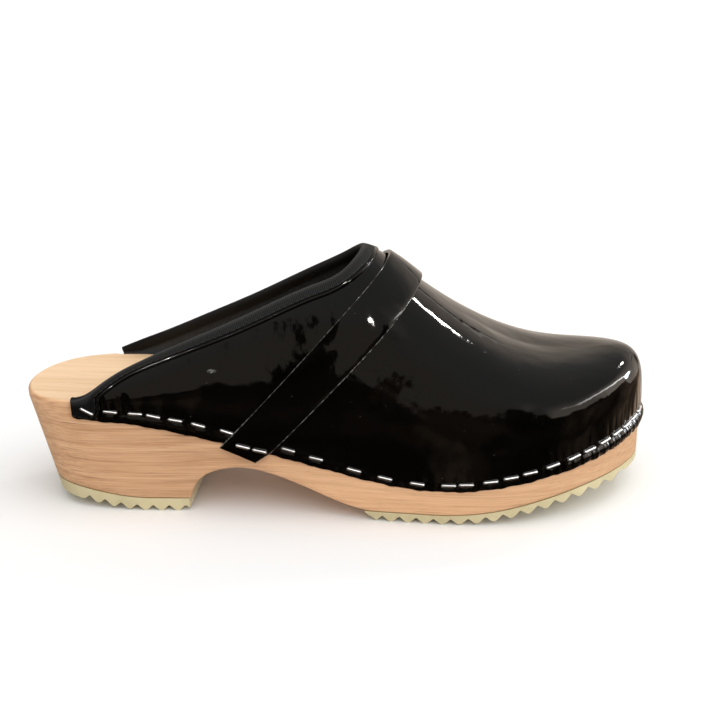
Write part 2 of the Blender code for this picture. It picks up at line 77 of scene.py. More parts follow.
camera = add_object("camera", bpy.data.cameras.new("camera"))
bpy.context.scene.camera = camera
camera.data.lens = FOCAL_LENGTH / PHOTO_SIDE * camera.data.sensor_width
camera_back = towards(CAMERA_AZIMUTH, CAMERA_ELEVATION)
level_right = Vector((0, 0, 1)).cross(camera_back).normalized()
roll = Matrix.Rotation(math.radians(CAMERA_ROLL), 3, camera_back)
camera_right = roll @ level_right
camera_up = camera_back.cross(camera_right)
camera_turn = Matrix((camera_right, camera_up, camera_back)).transposed()
camera_place = Vector(in_frame(LOOK_AT)) + camera_back * CAMERA_DISTANCE * MM
camera.matrix_world = Matrix.Translation(camera_place) @ camera_turn.to_4x4()

# Floor and light
# A plain pale floor under two wide soft lights. The room that the lacquer mirrors is dim behind the camera,
# grey overhead and bright beyond the toe, and a few small lamps put the bright spots on it.
FLOOR_SIDE = 80.0       # metres
FLOOR_COLOUR = (0.93, 0.928, 0.922, 1.0)
BACKDROP = (1.0, 1.0, 1.0, 1.0)
DOME = (0.56, 0.56, 0.56, 1.0)          # what matte surfaces receive from all round
ROOM_GREY = (0.27, 0.265, 0.255, 1.0)
LAMP_DISTANCE = 1.5     # metres
LAMP_WARM, WINDOW_COOL = (1.0, 0.95, 0.88), (0.80, 0.90, 1.0)
lamps_miss = bpy.data.collections.new("lamps_miss")     # the floor, which only the soft lights reach
lacquered = bpy.data.collections.new("lacquered")       # pieces that don't mirror the soft lights


def leave_out(collection, *pieces):
    """A light that has this collection as its receivers doesn't light these pieces."""
    for piece in pieces:
        collection.objects.link(piece)
        collection.collection_objects[-1].light_linking.link_state = "EXCLUDE"


def feed(tree, made, values):
    """Set a node's own inputs, by name or number: a socket is linked and a constant is set."""
    for key, value in dict(values).items():
        if isinstance(value, bpy.types.NodeSocket):
            tree.links.new(value, made.inputs[key])
        else:
            made.inputs[key].default_value = value


def node(tree, kind, values=(), **settings):
    """New node with its settings and inputs."""
    made = tree.nodes.new(kind)
    for name, value in settings.items():
        setattr(made, name, value)
    feed(tree, made, values)
    return made


def first_of(tree, kind, values=(), **settings):
    """First output of a new node."""
    return node(tree, kind, values, **settings).outputs[0]


def math_node(tree, operation, *values):
    return first_of(tree, "ShaderNodeMath", enumerate(values), operation=operation)


def times(tree, first, second):
    return math_node(tree, "MULTIPLY", first, second)


def ramp(tree, value, low, high, to_low=0.0, to_high=1.0):
    """Smooth step of a value from one level to another."""
    levels = {"Value": value, "From Min": low, "From Max": high, "To Min": to_low, "To Max": to_high}
    return first_of(tree, "ShaderNodeMapRange", levels, interpolation_type="SMOOTHSTEP")


def mix_colours(tree, factor, first, second, blend="MIX"):
    settings = {"data_type": "RGBA", "blend_type": blend}
    return node(tree, "ShaderNodeMix", {0: factor, 6: first, 7: second}, **settings).outputs[2]


def noise(tree, vector, scale, detail=2.0, roughness=0.5):
    levels = {"Vector": vector, "Scale": scale, "Detail": detail, "Roughness": roughness}
    return node(tree, "ShaderNodeTexNoise", levels).outputs["Fac"]


def stretched(tree, vector, scale):
    """Coordinates scaled along each axis."""
    return first_of(tree, "ShaderNodeMapping", {"Vector": vector, "Scale": scale})


def drawn_out(tree, vector, per_metre, detail=2.0, roughness=0.5):
    """Noise with so many repeats per metre along each axis."""
    return noise(tree, stretched(tree, vector, per_metre), 1.0, detail, roughness)


def mark_of(tree, name):
    """Value that the points of a mesh carry under this name."""
    return node(tree, "ShaderNodeAttribute", attribute_name=name).outputs["Fac"]


def light(kind, name, azimuth, elevation, energy, receivers):
    """Light of this kind that looks at the clog from a direction, in degrees."""
    data = bpy.data.lights.new(name, kind)
    data.energy = energy
    made = add_object(name, data)
    made.rotation_euler = towards(azimuth, elevation).to_track_quat("Z", "Y").to_euler()
    made.light_linking.receiver_collection = receivers
    return made


def lamp(name, azimuth, elevation, radius, power, colour=LAMP_WARM):
    """Small round lamp, in metres and watts; it shows only in what it lights."""
    made = light("AREA", name, azimuth, elevation, power, lamps_miss)
    made.data.shape = "DISK"
    made.data.size = 2 * radius
    made.data.color = colour
    made.location = Vector(in_frame(LOOK_AT)) + towards(azimuth, elevation) * LAMP_DISTANCE
    made.visible_camera = False
    return made


# Small lamps: azimuth, elevation, radius and power
front_lamp = lamp("front_lamp", 9, 42, 0.07, 3.0)
toe_lamp = lamp("toe_lamp", 130, 39, 0.055, 1.8)
lamp("heel_lamp", -66, 65, 0.05, 2.4)
lamp("far_lamp", 146, 61, 0.05, 2.0)
lamp("window", 109, 16, 0.12, 3.2, WINDOW_COOL)

# Wide soft lights: azimuth, elevation, watts per square metre and width in degrees
SOFT_LIGHTS = (
    ("soft_key", 42, 60, 1.75, 80),
    ("soft_fill", 62, 14, 0.7, 60),
)
for name, azimuth, elevation, strength, width in SOFT_LIGHTS:
    light("SUN", name, azimuth, elevation, strength, lacquered).data.angle = math.radians(width)


def stops(tree, value, marks):
    """Level along a ramp with these marks, each a position and a level."""
    made = node(tree, "ShaderNodeValToRGB", {0: value})
    elements = made.color_ramp.elements
    for position, _ in marks[2:]:
        elements.new(position)
    for element, (position, level) in zip(elements, sorted(marks)):
        element.position = position
        element.color = (level, level, level, 1.0)
    return made.outputs[0]


def around_room(azimuth):
    """Place on a ramp that runs once round the room."""
    return (azimuth + 180) / 360


# The room round the clog, by azimuth in degrees: elevation of the skyline, light below it and light above it
SKYLINE = (
    (-180, -50), (-120, -45), (-75, 8), (-54, 41), (-41, 41.5), (-36, 37), (-32, 27), (-28, 20),
    (-24.5, 19.5), (-21.5, 9), (-17, 6), (-12, 6), (-8, 11), (0, 19.5), (8, 25), (17, 29), (23, 34),
    (29, 41), (38, 41), (41, 28), (52, 24), (78, 24), (83, 17), (104, 15), (108, 5), (114, -4),
    (140, -8), (152, -40), (180, -50),
)
LOW_LIGHT = (
    (-180, 0.7), (-110, 0.30), (-60, 0.05), (-24, 0.02), (-15.5, 0.03), (-13.5, 0.10), (-9, 0.12),
    (-5.5, 0.05), (12, 0.045), (24, 0.02), (46, 0.015), (66, 0.11), (84, 0.04), (98, 0.05), (110, 0.26),
    (132, 0.36), (150, 0.7), (180, 0.7),
)
HIGH_LIGHT = (
    (-180, 0.65), (-120, 0.45), (-70, 0.30), (-40, 0.27), (36, 0.27), (47, 0.85), (76, 0.85), (84, 1.7),
    (104, 1.7), (116, 0.95), (138, 0.80), (152, 0.64), (180, 0.62),
)
SKY_LOW, SKY_SPAN = -60, 150        # range of the skyline's elevations
SKY_TOP = 90.0                      # elevation overhead
LIGHT_SPAN = 2.0                    # range of the light above the skyline
WAVER = 9.0                         # degrees that the skyline wavers by in all
WAVER_NOISE = (7.0, 5.0, 0.6)       # its scale, detail and roughness
SKY_SOFT = 1.2                      # degrees over which it turns from dim to light, either way
SMUDGE = (0.35, 1.9)                # least and most light of the uneven part below it
SMUDGE_NOISE = (3.2, 3.0, 0.5)      # its scale, detail and roughness
SMUDGE_AT = (0.35, 0.72)            # levels of that noise where it is least and most

# What else the lacquer mirrors, by azimuth: the light above the skyline fades to grey, a thin bright line
# runs above the toe, a dark line, a pale one and a dark post lie beyond it, and it is brighter there low down
FADE, FADE_SPAN = ((-180, 22), (30, 34), (80, 34), (100, 26), (125, 23), (180, 22)), 20.0
EDGE_LIGHT, EDGE_HALF, EDGE_SOFT = 13.0, 1.0, 1.5
EDGE_LINE = ((40, 39), (82, 39), (100, 30), (112, 19), (120, 14))
EDGE_AROUND = ((52, 0), (64, 0.4), (84, 0.6), (98, 1), (113, 1), (119, 0))
FAR_PALE = (0.80, 0.75, 0.69, 1.0)
ROOM_POST = (0.07, 0.06, 0.05, 1.0)
FAR_LINES = ((17.6, 18.8, ROOM_POST), (20.2, 21.8, FAR_PALE))       # lower and upper edge, and colour
FAR_LINE_AROUND, FAR_SOFT = ((128, 0), (138, 1), (155.5, 1), (159, 0)), 0.7
FAR_GLOW_AROUND = ((-180, 1), (-130, 0), (110, 0), (135, 1), (180, 1))
GLOW_TOP, GLOW_LOW, GLOW_HIGH = 24.0, 0.12, -0.2        # elevation, and extra share of light below and there
POST_AROUND = ((134, 0), (140, 1), (146, 1), (151, 0))
POST_LOW, POST_HIGH, POST_SOFT = -4.0, 9.0, 4.0
WARM = (1.0, 0.87, 0.745, 1.0)
WARM_LOW = (1.0, 0.70, 0.48, 1.0)

world = bpy.data.worlds.new("room")
bpy.context.scene.world = world
world.use_nodes = True
room = world.node_tree
room.nodes.clear()
direction = node(room, "ShaderNodeTexCoord").outputs["Generated"]
axes = node(room, "ShaderNodeSeparateXYZ", {0: direction}).outputs
camera_side = times(room, axes["Y"], -1.0)
turn = math_node(room, "ARCTAN2", axes["X"], camera_side)
turn = math_node(room, "MULTIPLY_ADD", turn, 1 / (2 * math.pi), 0.5)
elevation = times(room, math_node(room, "ARCSINE", axes["Z"]), 180 / math.pi)


def round_room(marks, low, span):
    """Value that follows marks of azimuth and level round the room."""
    level = stops(room, turn, [(around_room(a), (value - low) / span) for a, value in marks])
    return math_node(room, "MULTIPLY_ADD", level, span, low)


def between_levels(value, low, high, soft):
    """One between two levels and nothing outside them."""
    up = ramp(room, value, low - soft, low)
    return times(room, up, ramp(room, value, high, high + soft, 1.0, 0.0))


def share_of(marks):
    """Share between 0 and 1 that follows marks round the room."""
    return round_room(marks, 0.0, 1.0)


wobble = math_node(room, "MULTIPLY_ADD", noise(room, direction, *WAVER_NOISE), WAVER, -WAVER / 2)
wavering = math_node(room, "ADD", elevation, wobble)
height = math_node(room, "SUBTRACT", wavering, round_room(SKYLINE, SKY_LOW, SKY_SPAN))
above = round_room(HIGH_LIGHT, 0.0, LIGHT_SPAN)
glow = ramp(room, elevation, 0.0, GLOW_TOP, GLOW_LOW, GLOW_HIGH)
glow = times(room, glow, share_of(FAR_GLOW_AROUND))
above = math_node(room, "MULTIPLY_ADD", above, glow, above)
above = mix_colours(room, 1.0, above, WARM, "MULTIPLY")
from_edge_line = math_node(room, "SUBTRACT", elevation, round_room(EDGE_LINE, 0.0, SKY_TOP))
edge = between_levels(from_edge_line, -EDGE_HALF, EDGE_HALF, EDGE_SOFT)
edge = times(room, edge, share_of(EDGE_AROUND))
above = mix_colours(room, 1.0, above, times(room, edge, EDGE_LIGHT), "ADD")
past_fade = math_node(room, "SUBTRACT", elevation, round_room(FADE, 0.0, SKY_TOP))
light_part = mix_colours(room, ramp(room, past_fade, 0.0, FADE_SPAN), above, ROOM_GREY)
far_place = share_of(FAR_LINE_AROUND)
for low, high, colour in FAR_LINES:
    far_line = times(room, between_levels(elevation, low, high, FAR_SOFT), far_place)
    light_part = mix_colours(room, far_line, light_part, colour)
smudge = ramp(room, noise(room, direction, *SMUDGE_NOISE), *SMUDGE_AT, *SMUDGE)
below_light = times(room, share_of(LOW_LIGHT), smudge)
dim_part = mix_colours(room, 1.0, below_light, WARM_LOW, "MULTIPLY")
room_colour = mix_colours(room, ramp(room, height, -SKY_SOFT, SKY_SOFT), dim_part, light_part)
post = between_levels(elevation, POST_LOW, POST_HIGH, POST_SOFT)
post = times(room, post, share_of(POST_AROUND))
room_colour = mix_colours(room, post, room_colour, ROOM_POST)
path = node(room, "ShaderNodeLightPath").outputs
shown = mix_colours(room, path["Is Diffuse Ray"], room_colour, DOME)
shown = mix_colours(room, path["Is Camera Ray"], shown, BACKDROP)
background = node(room, "ShaderNodeBackground", {"Color": shown})
node(room, "ShaderNodeOutputWorld", {"Surface": background.outputs[0]})

bpy.context.scene.view_settings.view_transform = "Standard"


def new_material(name):
    """Material with an empty Principled shader; returns the material, its tree, shader and coordinates."""
    made = bpy.data.materials.new(name)
    made.use_nodes = True
    tree = made.node_tree
    shader = tree.nodes["Principled BSDF"]
    place = node(tree, "ShaderNodeTexCoord").outputs["Object"]
    return made, tree, shader, place


def bump(tree, height, distance, under=None):
    """Normal of a height that is worth so many metres; under is a normal to build on."""
    levels = {"Height": height, "Distance": distance, "Strength": 1.0}
    if under is not None:
        levels["Normal"] = under
    return first_of(tree, "ShaderNodeBump", levels)


floor_mesh = bpy.data.meshes.new("floor")
floor_bm = bmesh.new()
bmesh.ops.create_grid(floor_bm, x_segments=2, y_segments=2, size=FLOOR_SIDE / 2)
floor_bm.to_mesh(floor_mesh)
floor_bm.free()
floor = add_object("floor", floor_mesh)
floor_material, tree, shader, place = new_material("floor")
feed(tree, shader, {"Base Color": FLOOR_COLOUR, "Roughness": 0.9, "Specular IOR Level": 0.1})
floor_mesh.materials.append(floor_material)
floor.visible_glossy = False
leave_out(lamps_miss, floor)

# Wooden sole
# One block of pale fine-grained hardwood, sawn and sanded, with a cupped foot bed, an arch cut through from
# side to side and a shallow step all round for the leather. Its edges are eased, and it is thinly sealed.
LENGTH = 263.0
OUTER, INNER = -1, 1    # the two sides of the foot
LEATHER = 2.0           # wall of the upper, lining included
GAP = 0.35              # clearance between pieces
REBATE, REBATE_RAMP, REBATE_LEAD = 1.4, 2.6, 3.2    # the step for the leather: depth, run-in and lead
RIM_ROUND = 1.5
EASED = 0.7             # rounding of the lower edges
EASED_MIDDLE = 0.3      # share of it that is left half way round
STEP_LIFT = 0.3         # the step rises this much on its way in
WING_END = {OUTER: 27.2, INNER: 32.6}
THROAT = 148.5
HEEL_RUBBER, FOREFOOT_RUBBER = 6.0, 4.4
HEEL_FRONT, TREAD_BACK = 72.2, 149.6
HEEL_LIFT, HEEL_LIFT_FROM, HEEL_LIFT_TO = 5.0, 56.0, 10.0
TOE_LIFT, TOE_LIFT_FROM, TOE_LIFT_TO = 10.6, 176.0, 258.0
HEEL_FAN = 30.0         # the sole's stations fan out by angle up to here
ARCH_STATIONS = 110
ROUND_STATIONS, SEAT_STATIONS, FRONT_STATIONS = 44, 36, 90      # in the fan, up to the arch and past it
UNDER_SHARES = (1.0, 0.6, 0.25, 0.0)                        # rings from the middle line to the edge
BED_SHARES = (0.06, 0.15, 0.28, 0.45, 0.65, 0.85, 1.0)      # and from the rim to the middle line
SIDE_STEPS, RIM_STEPS = 8, 7
TINY = 1e-4             # step in an angle or a share, for slopes
HAIR = 1e-6             # allowance for rounding
WELD, SLIVER = 2e-6, 1e-7       # metres: points this close are one, and edges this short go


def columns(names, rows):
    """A table of rows as a dictionary of named columns."""
    return {name: [row[i] for row in rows] for i, name in enumerate(names.split())}


# Plan of the sole: half width either side of a centre line, and how far in the bottom edge lies
PLAN = columns("x half_width centre undercut", [
    (0, 0.0, 0.3, 8.0),
    (12, 25.0, 0.4, 5.6),
    (32, 32.0, 0.5, 3.9),
    (70, 33.2, 0.0, 3.3),
    (105, 34.5, -0.6, 3.0),
    (140, 39.6, -1.0, 2.8),
    (175, 45.8, 0.1, 2.6),
    (200, 48.0, 0.8, 2.4),
    (220, 45.6, 2.0, 2.0),
    (240, 37.2, 3.9, 1.3),
    (254, 24.2, 5.3, 0.7),
    (LENGTH, 0.0, 6.0, 0.4),
])

# Side view of the sole: height of the foot bed's rim, of the leather's lower edge, and depth of the cup
SIDE = columns("x rim edge cup", [
    (0, 50.4, 47.5, 1.5),
    (14, 50.5, 46.3, 2.2),
    (28, 50.3, 43.8, 2.6),
    (50, 49.4, 41.6, 2.6),
    (76, 46.6, 36.4, 1.8),
    (105, 40.4, 29.7, 1.2),
    (140, 32.4, 21.9, 1.6),
    (165, 28.8, 17.4, 2.0),
    (185, 28.1, 16.8, 2.2),
    (210, 29.8, 19.7, 1.8),
    (240, 34.6, 25.0, 1.2),
    (LENGTH, 38.9, 29.4, 0.8),
])

# Arch of the sole from below, from the breast of the heel to the ball
ARCH = columns("x height", [
    (72.4, -4.0),
    (73.4, 7.5),
    (78.4, 15.8),
    (87.0, 20.0),
    (97.0, 21.2),
    (109.0, 18.8),
    (127.0, 11.8),
    (143.0, 5.6),
    (149.6, 4.2),
])


def curve_through(xs, ys):
    """Natural cubic spline through the points, as a function of arrays."""
    xs, ys = np.asarray(xs, float), np.asarray(ys, float)
    step = np.diff(xs)
    slope = np.diff(ys) / step
    matrix = np.eye(len(xs))
    right = np.zeros(len(xs))
    for i in range(1, len(xs) - 1):
        matrix[i, i - 1:i + 2] = step[i - 1], 2 * (step[i - 1] + step[i]), step[i]
        right[i] = 6 * (slope[i] - slope[i - 1])
    bend = np.linalg.solve(matrix, right)

    def value(x):
        i = np.clip(np.searchsorted(xs, x) - 1, 0, len(xs) - 2)
        a = (xs[i + 1] - x) / step[i]
        b = (x - xs[i]) / step[i]
        straight = a * ys[i] + b * ys[i + 1]
        return straight + ((a ** 3 - a) * bend[i] + (b ** 3 - b) * bend[i + 1]) * step[i] ** 2 / 6

    return value


def angle_at(x):
    """Station angle: 0 at the back of the heel, pi at the toe."""
    return np.arccos(1 - 2 * np.asarray(x, float) / LENGTH)


def station_x(angle):
    return LENGTH * (1 - np.cos(angle)) / 2


half_width = curve_through(angle_at(PLAN["x"]), PLAN["half_width"])
centre = curve_through(PLAN["x"], PLAN["centre"])
undercut = curve_through(PLAN["x"], PLAN["undercut"])
rim_height = curve_through(SIDE["x"], SIDE["rim"])
edge_height = curve_through(SIDE["x"], SIDE["edge"])
cup_depth = curve_through(SIDE["x"], SIDE["cup"])
arch_steps = np.hypot(np.diff(ARCH["x"]), np.diff(ARCH["height"]))
arch_lengths = np.concatenate([[0.0], np.cumsum(arch_steps)])
along_arch = np.linspace(0.0, arch_lengths[-1], ARCH_STATIONS)
arch_x = curve_through(arch_lengths, ARCH["x"])(along_arch)
arch_z = curve_through(arch_lengths, ARCH["height"])(along_arch)


def lifted(x, start, end, height):
    """Smooth lift from nothing at the start to the full height at the end."""
    share = np.clip((x - start) / (end - start), 0.0, 1.0)
    return height * (1 - np.cos(share * np.pi)) / 2


def floor_line(x):
    """Height of the rib tips above the floor."""
    heel = lifted(x, HEEL_LIFT_FROM, HEEL_LIFT_TO, HEEL_LIFT)
    return heel + lifted(x, TOE_LIFT_FROM, TOE_LIFT_TO, TOE_LIFT)


def sole_bottom(x):
    """Height of the wood's underside, without the arch."""
    share = np.clip((x - HEEL_FRONT) / (TREAD_BACK - HEEL_FRONT), 0.0, 1.0)
    return floor_line(x) + HEEL_RUBBER + share * (FOREFOOT_RUBBER - HEEL_RUBBER)


def underside(x):
    return np.maximum(sole_bottom(x), np.interp(x, arch_x, arch_z, left=0.0, right=0.0))


def outline(angle, side, outward=0.0):
    """Plan points on one side of the sole, moved outward square to the outline."""
    def point(a):
        x = station_x(a)
        return np.stack([x, centre(x) + side * half_width(a)], axis=-1)

    along = point(angle + TINY) - point(angle - TINY)
    scale = side * outward / np.hypot(along[..., 0], along[..., 1])
    square = np.stack([-along[..., 1], along[..., 0]], axis=-1)
    return point(angle) + square * np.expand_dims(scale, -1)


def unit(vectors):
    return vectors / np.linalg.norm(vectors, axis=-1, keepdims=True)


def smooth(share):
    """A share held between 0 and 1 and eased at both ends."""
    share = np.clip(share, 0.0, 1.0)
    return share * share * (3 - 2 * share)


def lengths_along(points):
    """Length along a line of points, from its start."""
    steps = np.linalg.norm(np.diff(points, axis=0), axis=1)
    return np.concatenate([[0.0], np.cumsum(steps)])


def with_height(plan, z):
    return np.concatenate([plan, np.broadcast_to(z, plan.shape[:-1])[..., None]], axis=-1)


def rebate_depth(x, side):
    share = (x - (WING_END[side] - REBATE_LEAD)) / REBATE_RAMP
    return REBATE * np.clip(share, 0.0, 1.0)


sole_angles = np.concatenate([
    np.linspace(0.0, angle_at(HEEL_FAN), ROUND_STATIONS),
    angle_at(np.linspace(HEEL_FAN, arch_x[0], SEAT_STATIONS)[1:]),
    angle_at(arch_x[1:]),
    np.linspace(angle_at(arch_x[-1]), np.pi, FRONT_STATIONS)[1:],
])


def around(level):
    """Closed ring of points around the sole, from a function of station angles and side."""
    outer = level(sole_angles, OUTER)
    inner = level(sole_angles[-2:0:-1], INNER)
    return np.concatenate([outer, inner, outer[:1]])


def inward(plan, angle, inset, share):
    """Plan points a share of the way from the edge to the middle line, whose ends lie in by an inset."""
    middle_x = station_x(angle) + inset * np.cos(angle)
    middle = np.stack([middle_x, centre(station_x(angle))], axis=-1)
    return plan + (middle - plan) * share


def side_ring(lift, inset):
    """Ring on the side of the wood, which leans in towards the underside."""
    def level(angle, side):
        x = station_x(angle)
        height = underside(x) + lift
        lean = (edge_height(x) - height) / (edge_height(x) - sole_bottom(x))
        return with_height(outline(angle, side, -undercut(x) * lean - inset), height)
    return around(level)


def under_ring(share):
    """Ring on the underside, from the eased edge to the middle line."""
    def level(angle, side):
        x = station_x(angle)
        lean = (edge_height(x) - underside(x)) / (edge_height(x) - sole_bottom(x))
        inset = undercut(x) * lean + EASED
        plan = inward(outline(angle, side, -inset), angle, inset, share)
        return with_height(plan, underside(plan[..., 0]))
    return around(level)


def edge_ring(lift, sunk):
    """Ring at the leather's edge; sunk is the share of the step's depth."""
    def level(angle, side):
        x = station_x(angle)
        plan = outline(angle, side, -rebate_depth(x, side) * sunk)
        return with_height(plan, edge_height(x) - GAP + lift)
    return around(level)


def rim_ring(turn):
    """Ring on the rounded rim: turn runs from 0 on the side to 1 on top."""
    def level(angle, side):
        x = station_x(angle)
        inset = rebate_depth(x, side) + RIM_ROUND * (1 - math.cos(turn * math.pi / 2))
        drop = RIM_ROUND * (1 - math.sin(turn * math.pi / 2))
        return with_height(outline(angle, side, -inset), rim_height(x) - drop)
    return around(level)


def bed_ring(share):
    """Ring on the cupped foot bed."""
    def level(angle, side):
        x = station_x(angle)
        rim = outline(angle, side, -rebate_depth(x, side) - RIM_ROUND)
        sag = cup_depth(x) * (1 - (1 - share) ** 2) * np.sin(angle)
        return with_height(inward(rim, angle, RIM_ROUND, share), rim_height(x) - sag)
    return around(level)


def new_piece(name, grids, marks=None, sharp_angle=180.0, fill_ends=False):
    """Mesh object from grids of points in millimetres, welded where they meet.

    marks gives named values for the points: a list with one array for each grid. fill_ends puts a face
    in each opening that is left.
    """
    faces, start = [], 0
    for grid in grids:
        rows, across = grid.shape[:2]
        index = start + np.arange(rows * across).reshape(rows, across)
        corners = (index[:-1, :-1], index[1:, :-1], index[1:, 1:], index[:-1, 1:])
        faces.append(np.stack([corner.ravel() for corner in corners], axis=1))
        start += rows * across
    points = in_frame(np.concatenate([grid.reshape(-1, 3) for grid in grids]))
    mesh = bpy.data.meshes.new(name)
    mesh.from_pydata(points.tolist(), [], np.concatenate(faces).tolist())
    for mark, values in (marks or {}).items():
        flat = np.concatenate([np.broadcast_to(v, g.shape[:2]).ravel() for v, g in zip(values, grids)])
        attribute = mesh.attributes.new(mark, "FLOAT", "POINT")
        attribute.data.foreach_set("value", flat.astype(np.float32))
    bm = bmesh.new()
    bm.from_mesh(mesh)
    bmesh.ops.remove_doubles(bm, verts=bm.verts, dist=WELD)
    bmesh.ops.dissolve_degenerate(bm, edges=bm.edges, dist=SLIVER)
    if fill_ends:
        bmesh.ops.holes_fill(bm, edges=[edge for edge in bm.edges if edge.is_boundary], sides=0)
    bmesh.ops.recalc_face_normals(bm, faces=bm.faces)
    bm.to_mesh(mesh)
    bm.free()
    mesh.shade_smooth()
    mesh.set_sharp_from_angle(angle=math.radians(sharp_angle))
    return add_object(name, mesh)


def dress(piece, material, slot, *nodes):
    """Give a piece its material and put it in the place of these nodes."""
    piece.data.materials.clear()
    piece.data.materials.append(material)
    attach(piece, "root")
    if nodes:
        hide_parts(*nodes)


below = [under_ring(share) for share in UNDER_SHARES]
below += [side_ring(EASED * EASED_MIDDLE, EASED * EASED_MIDDLE), side_ring(EASED, 0.0)]
wall = [edge_ring(0.0, 0.0), edge_ring(STEP_LIFT, 0.5), edge_ring(STEP_LIFT, 1.0)]
rim = [rim_ring(turn) for turn in np.linspace(0.0, 1.0, RIM_STEPS)]
bed = [bed_ring(share) for share in BED_SHARES]
rim_top = np.linspace(0.3, 1.0, 3)      # the last rings of the rim take the looks of the bed, more and more


def between(lower, upper, steps):
    """Rings between two rings, so that the tall side has even faces."""
    return [lower + (upper - lower) * i / steps for i in range(1, steps)]


sole_rings = below + between(below[-1], wall[0], SIDE_STEPS) + wall + rim + bed
on_top = np.concatenate([np.zeros(len(sole_rings) - len(bed) - len(rim_top)), rim_top, np.ones(len(bed))])
sole = new_piece("sole_wood", [np.stack(sole_rings)], {"bed": [on_top[:, None]]}, sharp_angle=50)

WOOD_LIGHT = (0.84, 0.508, 0.285, 1.0)
WOOD_DARK = (0.585, 0.30, 0.145, 1.0)
WOOD_LINE = (0.20, 0.09, 0.04, 1.0)
# The foot bed is paler and greyer than the side: partly the sanded wood's own tone, partly painted sheen of
# the light from above
WOOD_BED_AND_SHEEN = (0.705, 0.505, 0.325, 1.0)
WOOD_BED_BAND = (0.57, 0.37, 0.205, 1.0)

# Along the block, as shares from heel to toe: painted light and shade (a darker heel and a lighter ball, as
# the light falls on the side), and how plainly its grain shows
WOOD_PAINTED_LIGHT = (
    (0.0, 0.82), (0.10, 0.79), (0.28, 0.75), (0.52, 0.95), (0.68, 0.95), (0.86, 0.79), (1.0, 0.74),
)
WOOD_FIGURE = ((0.0, 1.0), (0.32, 1.0), (0.5, 0.6), (1.0, 0.6))

# Repeats per metre along, across and up
WAVES = (9.0, 25.0, 25.0)
FIBRES = (18.0, 240.0, 1900.0)
FLECKS = (80.0, 900.0, 3000.0)
STREAKS = (8.0, 130.0, 1500.0)
PORES = (13.0, 110.0, 1000.0)
BED_BANDS = (7.0, 120.0, 120.0)
BED_FIBRES = (9.0, 520.0, 300.0)
RINGS, RING_SLANT, RING_WAVER = 320.0, 0.16, 0.016      # year rings: per metre, slope and metres of waver

# How dark each mark is at most, and how much of that is left on the sanded bed
STREAK_DEPTH, FLECK_DEPTH, PORE_DEPTH, BED_DEPTH = 0.5, 0.4, 0.85, 0.08

wood, tree, shader, place = new_material("wood")
axes = node(tree, "ShaderNodeSeparateXYZ", {0: place}).outputs
slant = math_node(tree, "MULTIPLY_ADD", axes["Y"], RING_SLANT, axes["Z"])
rings = math_node(tree, "MULTIPLY_ADD", drawn_out(tree, place, WAVES), RING_WAVER, slant)
layer = first_of(tree, "ShaderNodeCombineXYZ", {"X": rings})
bands = noise(tree, layer, RINGS, 3.0, 0.6)
fibre = drawn_out(tree, place, FIBRES, 3.0, 0.7)
fleck = ramp(tree, drawn_out(tree, place, FLECKS, 1.0), 0.65, 0.74, 0.0, FLECK_DEPTH)
streak = ramp(tree, drawn_out(tree, place, STREAKS, 2.0, 0.6), 0.58, 0.74, 0.0, STREAK_DEPTH)
pore = ramp(tree, drawn_out(tree, place, PORES, 1.0), 0.73, 0.79, 0.0, PORE_DEPTH)
grain = math_node(tree, "MULTIPLY_ADD", bands, 0.6, times(tree, fibre, 0.65))
ends = {"From Min": -MIDDLE[0] * MM, "From Max": (LENGTH - MIDDLE[0]) * MM}
share_along = first_of(tree, "ShaderNodeMapRange", {"Value": axes["X"], **ends})
painted_light_and_shade = stops(tree, share_along, WOOD_PAINTED_LIGHT)
figure = stops(tree, share_along, WOOD_FIGURE)
tone = times(tree, ramp(tree, grain, 0.46, 0.80), figure)
side_colour = mix_colours(tree, tone, WOOD_LIGHT, WOOD_DARK)
# Painted light and shade along the block: the side's colour is darker at the heel and lighter at the ball
side_colour = mix_colours(tree, 1.0, side_colour, painted_light_and_shade, "MULTIPLY")
bed_bands = ramp(tree, drawn_out(tree, place, BED_BANDS), 0.40, 0.64, 0.0, 0.4)
bed_lines = ramp(tree, drawn_out(tree, place, BED_FIBRES, 3.0, 0.6), 0.42, 0.72, 0.0, 0.5)
bed_tone = math_node(tree, "ADD", bed_lines, bed_bands)
# Bed colour: the wood's own tone with painted sheen from above
bed_colour_and_sheen = mix_colours(tree, bed_tone, WOOD_BED_AND_SHEEN, WOOD_BED_BAND)
bed_mask = mark_of(tree, "bed")
colour = mix_colours(tree, bed_mask, side_colour, bed_colour_and_sheen)
dark_marks = math_node(tree, "MAXIMUM", math_node(tree, "MAXIMUM", streak, fleck), pore)
dark_marks = times(tree, dark_marks, ramp(tree, bed_mask, 0.0, 1.0, 1.0, BED_DEPTH))
dark_marks = times(tree, dark_marks, figure)
wood_relief = math_node(tree, "SUBTRACT", fibre, times(tree, dark_marks, 0.5))
feed(tree, shader, {
    "Base Color": mix_colours(tree, dark_marks, colour, WOOD_LINE),
    "Roughness": ramp(tree, fibre, 0.3, 0.7, 0.42, 0.58), "Specular IOR Level": 0.35,
    "Normal": bump(tree, wood_relief, 0.00006),
})
dress(sole, wood, "wood", "wooden_sole")

